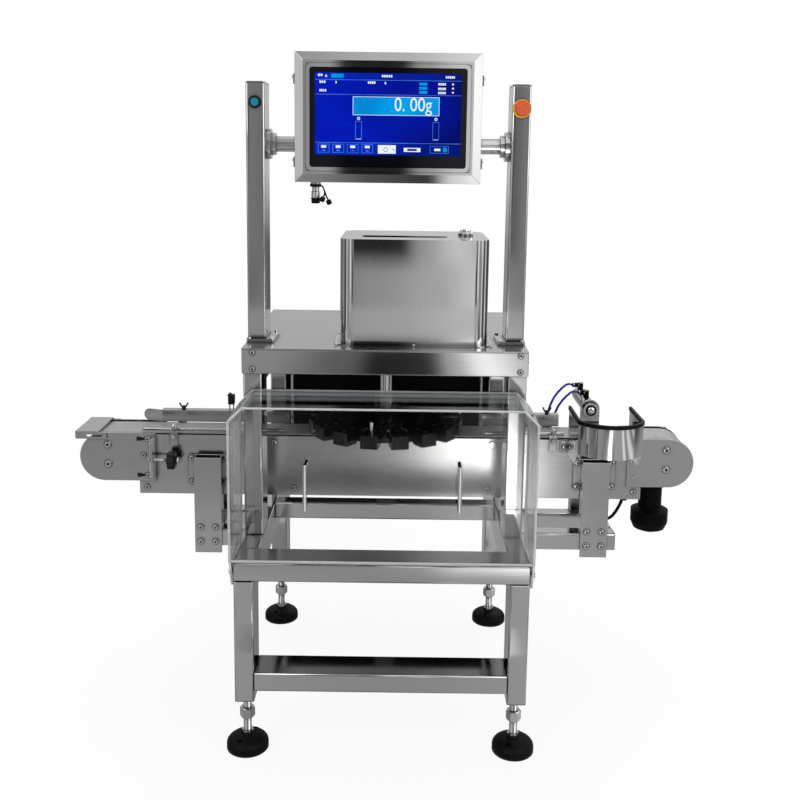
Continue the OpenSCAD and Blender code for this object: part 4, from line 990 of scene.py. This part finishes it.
def display():
    low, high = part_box("screen_glass")
    w, h = 303 * MM, 167 * MM
    x0, z1 = (low.x + high.x - w) / 2, high.z - 11 * MM
    y = low.y
    bm = bmesh.new()
    BASE, BAR, CYAN, LINE, WHITE = range(5)

    def at(u, v, lift):
        return Vector((x0 + u * w, y - lift * MM, z1 - v * h))

    def patch(u0, v0, u1, v1, paint, lift=0.4):
        corners = [at(u0, v0, lift), at(u1, v0, lift), at(u1, v1, lift), at(u0, v1, lift)]
        back = [c + Vector((0, 0.15 * MM, 0)) for c in corners]
        vf = [bm.verts.new(c) for c in corners]
        vb = [bm.verts.new(c) for c in back]
        faces = [vf, vb[::-1]] + [[vf[k], vf[(k + 1) % 4], vb[(k + 1) % 4], vb[k]] for k in range(4)]
        for face in faces:
            bm.faces.new(face).material_index = paint

    def outline(u0, v0, u1, v1, paint, tu=0.003, lift=0.6):
        tv = tu * w / h
        patch(u0, v0, u1, v0 + tv, paint, lift)
        patch(u0, v1 - tv, u1, v1, paint, lift)
        patch(u0, v0 + tv, u0 + tu, v1 - tv, paint, lift)
        patch(u1 - tu, v0 + tv, u1, v1 - tv, paint, lift)

    def streak(a, b, width):
        pa, pb = at(*a, 0.45), at(*b, 0.45)
        n = Vector((-(pb - pa).z, 0, (pb - pa).x)).normalized() * width * MM / 2
        bm.faces.new([bm.verts.new(p) for p in (pa - n, pb - n, pb + n, pa + n)]).material_index = BAR

    def disc(u, v, r, paint, lift=0.7):
        turned(bm, at(u, v, lift) / MM, FRONT, [(0, 0), (r, 0), (r, 0.12), (0, 0.12)], 20, paint)

    def text(u0, u1, v):
        """Short line of text, as plain dashes."""
        n = max(1, round((u1 - u0) / 0.014))
        step = (u1 - u0) / n
        for k in range(n):
            patch(u0 + step * k, v - 0.014, u0 + step * (k + 0.72), v + 0.014, WHITE, 0.5)

    def backdrop():
        patch(0, 0, 1, 1, BASE, 0.2)
        patch(0, 0, 1, 0.085, BAR)
        patch(0, 0.85, 1, 1, BAR)
        for v in (0.085, 0.262, 0.85):
            patch(0, v - 0.003, 1, v + 0.003, LINE, 0.5)
        streak((0.01, 0.31), (0.40, 0.83), 0.9)
        streak((0.02, 0.55), (0.62, 0.79), 0.9)
        streak((0.0, 0.36), (0.26, 0.66), 0.5)

    def status_lines():
        patch(0.11, 0.012, 0.195, 0.062, CYAN, 0.5)
        patch(0.13, 0.028, 0.175, 0.046, WHITE)
        top_row = ((0.02, 0.055, 0.03), (0.07, 0.085, 0.04), (0.455, 0.53, 0.035), (0.89, 0.955, 0.04))
        next_row = ((0.03, 0.075, 0.112), (0.14, 0.15, 0.115), (0.36, 0.415, 0.115), (0.475, 0.487, 0.12))
        for u0, u1, v in top_row + next_row:
            text(u0, u1, v)
        text(0.03, 0.08, 0.215)
        for v in (0.125, 0.18, 0.23):
            text(0.84, 0.895, v)
        for v in (0.125, 0.175, 0.225):
            patch(0.71, v - 0.017, 0.765, v + 0.017, CYAN, 0.5)
            disc(0.94, v, 2.0, WHITE)

    def weight_and_bars():
        patch(0.258, 0.285, 0.85, 0.512, CYAN, 0.5)
        outline(0.258, 0.285, 0.85, 0.512, WHITE)
        for u in (0.298, 0.828):
            outline(u - 0.022, 0.585, u + 0.022, 0.81, LINE)
            patch(u - 0.016, 0.80, u + 0.016, 0.806, WHITE, 0.5)
            disc(u, 0.552, 3.2, WHITE)
            disc(u, 0.552, 1.6, BAR, 0.85)
        turn = Matrix.Rotation(math.pi / 2, 4, "X")
        place = Matrix.Translation(at(0.80, 0.455, 0.75)) @ turn @ Matrix.Diagonal((0.90, 1.10, 1, 1))
        merge(bm, number_mesh(), WHITE, place)

    def keys():
        for k in range(4):
            u = 0.02 + 0.1 * k
            outline(u, 0.868, u + 0.078, 0.975, LINE)
            patch(u + 0.022, 0.885, u + 0.056, 0.916, WHITE, 0.5)
            patch(u + 0.028, 0.94, u + 0.05, 0.955, LINE, 0.5)
        patch(0.432, 0.875, 0.555, 0.98, WHITE, 0.5)
        disc(0.485, 0.93, 4.6, BASE)
        disc(0.485, 0.93, 3.6, WHITE, 0.85)
        patch(0.534, 0.922, 0.542, 0.938, BASE, 0.7)
        patch(0.61, 0.905, 0.725, 0.955, WHITE, 0.5)
        patch(0.634, 0.917, 0.70, 0.943, BASE, 0.7)
        outline(0.79, 0.88, 0.92, 0.97, LINE)
        patch(0.82, 0.91, 0.862, 0.94, WHITE, 0.5)
        disc(0.893, 0.925, 5.2, CYAN)

    backdrop()
    status_lines()
    weight_and_bars()
    keys()
    looks = ["lcd", "lcd_bar", "lcd_cyan", "lcd_line", "lcd_white"]
    link_mesh("display", bm, looks, "screen", 20)


display()


# Floor, backdrop light and reflected cards
def light_path_any(tree):
    """One for rays from the camera and for mirrored and refracted ones, nought for light on the object."""
    path = tree.nodes.new("ShaderNodeLightPath").outputs
    seen = combine(tree, "MAXIMUM", path["Is Camera Ray"], path["Is Glossy Ray"])
    return combine(tree, "MAXIMUM", seen, path["Is Transmission Ray"])


def build_world():
    world = bpy.data.worlds.new("studio")
    scene.world = world
    world.use_nodes = True
    tree = world.node_tree
    tree.nodes.clear()
    out = tree.nodes.new("ShaderNodeOutputWorld")
    mix = tree.nodes.new("ShaderNodeMixShader")
    tree.links.new(light_path_any(tree), mix.inputs["Fac"])
    light_on_object, white = 0.55, 1.0
    for socket, strength in ((mix.inputs[1], light_on_object), (mix.inputs[2], white)):
        sky = tree.nodes.new("ShaderNodeBackground")
        sky.inputs["Color"].default_value = (1, 1, 1, 1)
        sky.inputs["Strength"].default_value = strength
        tree.links.new(sky.outputs[0], socket)
    tree.links.new(mix.outputs[0], out.inputs["Surface"])


def stage_material(name):
    mat = bpy.data.materials.new(name)
    mat.use_nodes = True
    tree = mat.node_tree
    tree.nodes.clear()
    out = tree.nodes.new("ShaderNodeOutputMaterial")
    return mat, tree, out.inputs["Surface"]


def build_floor():
    """White floor that takes a soft shadow near the object."""
    mat, tree, surface = stage_material("floor")
    matt = tree.nodes.new("ShaderNodeBsdfDiffuse")
    matt.inputs["Color"].default_value = (0.92, 0.92, 0.92, 1)
    glow = tree.nodes.new("ShaderNodeEmission")
    mix = tree.nodes.new("ShaderNodeMixShader")
    coord = tree.nodes.new("ShaderNodeTexCoord")
    reach = tree.nodes.new("ShaderNodeVectorMath")
    reach.operation = "LENGTH"
    tree.links.new(coord.outputs["Object"], reach.inputs[0])
    fade = spread(tree, reach.outputs["Value"], 0.91, 1.0, 0.5, 1.3)
    tree.links.new(combine(tree, "MULTIPLY", light_path_any(tree), fade), mix.inputs["Fac"])
    tree.links.new(matt.outputs[0], mix.inputs[1])
    tree.links.new(glow.outputs[0], mix.inputs[2])
    tree.links.new(mix.outputs[0], surface)
    bm = bmesh.new()
    bmesh.ops.create_circle(bm, cap_ends=True, radius=14, segments=64)
    mesh = bpy.data.meshes.new("floor")
    bm.to_mesh(mesh)
    bm.free()
    mesh.materials.append(mat)
    floor = bpy.data.objects.new("floor", mesh)
    scene.collection.objects.link(floor)


BAND_REACH = 3.0


def band_ramp(tree, place, row):
    """Grey bands from stops of (place, tone), the first and last at the ends of the bands' reach."""
    ramp = tree.nodes.new("ShaderNodeValToRGB")
    ramp.color_ramp.interpolation = "EASE"
    stops = ramp.color_ramp.elements
    stops[0].position, stops[1].position = 0.0, 1.0
    for where, tone in row[1:-1]:
        stops.new((where + BAND_REACH) / (2 * BAND_REACH)).color = (tone, tone, tone, 1)
    for stop, (_, tone) in ((stops[0], row[0]), (stops[len(stops) - 1], row[-1])):
        stop.color = (tone, tone, tone, 1)
    tree.links.new(place, ramp.inputs["Fac"])
    return ramp.outputs["Color"]


def card(name, corners, first, second, axis, start, end, bands="X"):
    """Studio card that only reflections see: two rows of grey bands, blended along an axis."""
    mat, tree, surface = stage_material(name)
    glow = tree.nodes.new("ShaderNodeEmission")
    axes = place_axes(tree)
    place = spread(tree, axes[bands], 0, 1, -BAND_REACH, BAND_REACH)
    one, other, result = mix_colours(tree, spread(tree, axes[axis], 0, 1, start, end))
    tree.links.new(band_ramp(tree, place, first), one)
    tree.links.new(band_ramp(tree, place, second), other)
    tree.links.new(result, glow.inputs["Color"])
    tree.links.new(glow.outputs[0], surface)
    mesh = bpy.data.meshes.new(name)
    mesh.from_pydata(corners, [], [(0, 1, 2, 3)])
    mesh.materials.append(mat)
    obj = bpy.data.objects.new(name, mesh)
    scene.collection.objects.link(obj)
    obj.visible_camera = False
    obj.visible_diffuse = False
    obj.visible_transmission = False
    obj.visible_shadow = False


def level(x0, x1, y0, y1, z):
    return [(x0, y0, z), (x1, y0, z), (x1, y1, z), (x0, y1, z)]


def wall_across(half, y, top):
    return [(-half, y, 0), (half, y, 0), (half, y, top), (-half, y, top)]


def wall_along(x, y0, y1, top):
    return [(x, y0, 0), (x, y1, 0), (x, y1, top), (x, y0, top)]


def area(name, place, aim, size, power, mirrored=True):
    data = bpy.data.lights.new(name, "AREA")
    data.shape = "RECTANGLE"
    data.size, data.size_y = size
    data.energy = power
    obj = bpy.data.objects.new(name, data)
    obj.location = place
    obj.rotation_euler = (Vector(aim) - Vector(place)).to_track_quat("-Z", "Y").to_euler()
    obj.visible_glossy = mirrored
    scene.collection.objects.link(obj)


build_world()
build_floor()

# Rows of bands, as stops of (place, tone)
SIDE = [(1.75, 0.40), (1.95, 1.0), (2.2, 0.25), (2.5, 0.9), (2.75, 0.2), (2.9, 0.7), (3, 0.15)]
LEGS = [(-3, 0.38), (-0.6, 0.46), (0.0, 0.38), (0.5, 0.48), (0.8, 0.40)] + SIDE
SILL = [(-3, 0.38), (-0.42, 0.46), (-0.30, 0.28), (-0.05, 0.10), (0.12, 0.05), (0.21, 0.9), (0.29, 1.2),
        (0.36, 0.48), (0.5, 0.48), (3, 0.36)]
PLATES = [(-3, 0.34), (-0.7, 0.33), (-0.42, 0.25), (-0.1, 0.34), (0.08, 0.6), (0.25, 2.4), (0.48, 4.0),
          (0.60, 0.7), (0.7, 0.30), (1.1, 0.42)] + SIDE
MID = [(-3, 0.34), (-0.8, 0.32), (-0.3, 0.14), (-0.1, 0.02), (0.2, 0.03), (0.36, 0.5), (0.55, 1.25),
       (0.8, 0.7), (1.1, 0.42)] + SIDE
FAR = [(-3, 0.45), (-0.6, 0.40), (0.0, 0.48), (0.5, 0.62), (1.2, 0.5), (3, 0.5)]
FRONT_LOW = [(-3, 0.9), (-1.8, 0.05), (-0.8, 0.30), (-0.5, 0.26), (-0.2, 0.36), (0.3, 0.50), (0.7, 0.75),
             (0.9, 0.30), (1.8, 0.05), (3, 0.9)]
FRONT_HIGH = [(-3, 0.9), (-2.2, 0.05), (-1.3, 0.30), (-1.0, 0.22), (-0.55, 0.42), (-0.42, 0.02),
              (0.02, 0.02), (0.2, 0.40), (0.5, 0.75), (0.8, 0.50), (0.9, 0.08), (1.06, 0.36), (1.4, 0.5),
              (2.2, 0.06), (3, 1.0)]
UNDER = [(-3, 0.35), (-0.4, 0.30), (0.05, 0.12), (0.4, 0.5), (2.4, 0.4), (3, 0.1)]
EVEN = [(-3, 0.3), (3, 0.3)]
BACK_LOW = [(-3, 0.22), (-0.6, 0.16), (-0.1, 0.30), (0.3, 0.10), (0.7, 0.5), (3, 0.25)]
BACK_HIGH = [(-3, 0.6), (-0.5, 0.55), (0.4, 0.6), (3, 0.6)]
LEFT_LOW = [(-3, 0.30), (-2.2, 0.7), (-1.4, 0.05), (-0.5, 0.06), (0.4, 0.8), (3, 0.1)]
LEFT_HIGH = [(-3, 0.72), (-1.5, 0.66), (-0.9, 0.06), (-0.2, 0.08), (0.6, 0.7), (3, 0.15)]
RIGHT_LOW = [(-3, 0.3), (-2.2, 0.9), (-1.4, 0.06), (-0.5, 0.08), (0.4, 0.9), (3, 0.15)]
RIGHT_HIGH = [(-3, 1.4), (-1.5, 1.3), (-0.9, 0.1), (-0.2, 0.1), (0.6, 1.0), (3, 0.3)]
TOP_NEAR = [(-3, 0.3), (-0.6, 0.42), (0.0, 0.6), (0.5, 0.95), (3, 1.2)]
TOP_FAR = [(-3, 0.5), (3, 1.0)]
ROOF_NEAR = [(-3, 0.40), (-0.4, 0.55), (0.1, 0.42), (0.5, 0.72), (3, 0.5)]
ROOF_FAR = [(-3, 0.35), (-0.2, 0.62), (0.4, 0.40), (3, 0.45)]

# Cards on the floor, around the room and overhead
FLOOR_Z = 0.012
REAR, AHEAD = 3.4, -6
card("card_legs", level(-5, 5, -1.5, -0.46, FLOOR_Z), PLATES, LEGS, "Y", -1.42, -1.2)
card("card_sill", level(-2, 2, -0.88, -0.74, FLOOR_Z + 0.002), SILL, SILL, "Y", -1, -0.9)
card("card_near", level(-5, 5, -3, -1.5, FLOOR_Z), MID, PLATES, "Y", -2.8, -2.3)
card("card_far", level(-5, 5, AHEAD, -3, FLOOR_Z), FAR, MID, "Y", -4.8, -4.4)
card("card_under", level(-5, 5, -0.46, REAR, FLOOR_Z / 2), UNDER, EVEN, "Y", 0.2, 1.5)
card("card_front", wall_across(5, AHEAD, 5), FRONT_LOW, FRONT_HIGH, "Z", 0.30, 0.48)
card("card_back", wall_across(5, REAR, 4), BACK_LOW, BACK_HIGH, "Z", 0.75, 1.15)
card("card_left", wall_along(-4, AHEAD, REAR, 4), LEFT_LOW, LEFT_HIGH, "Z", 0.5, 1.4, "Y")
card("card_right", wall_along(4, AHEAD, REAR, 2.4), RIGHT_LOW, RIGHT_HIGH, "Z", 0.5, 1.4, "Y")
card("card_top", level(-4, 2, AHEAD, 1, 4.5), TOP_NEAR, TOP_FAR, "Y", -1, 0)
card("card_roof", level(-4, 4, 1, REAR, 4.5), ROOF_NEAR, ROOF_FAR, "Y", 1, 2)

# Lamps
area("key", (-2.2, -3.0, 3.4), (0, 0, 0.7), (1.6, 1.6), 28)
area("fill", (2.8, -2.4, 2.4), (0, 0, 0.7), (1.6, 2.0), 19)
area("top", (0, 0.6, 4.0), (0, 0, 0.6), (2.5, 2.5), 30, False)
area("rim", (1.5, 3.2, 3.0), (0, 0, 0.8), (1.6, 1.6), 26)
area("front", (0.2, -3.2, 1.3), (0, 0, 0.6), (1.8, 1.2), 22, False)
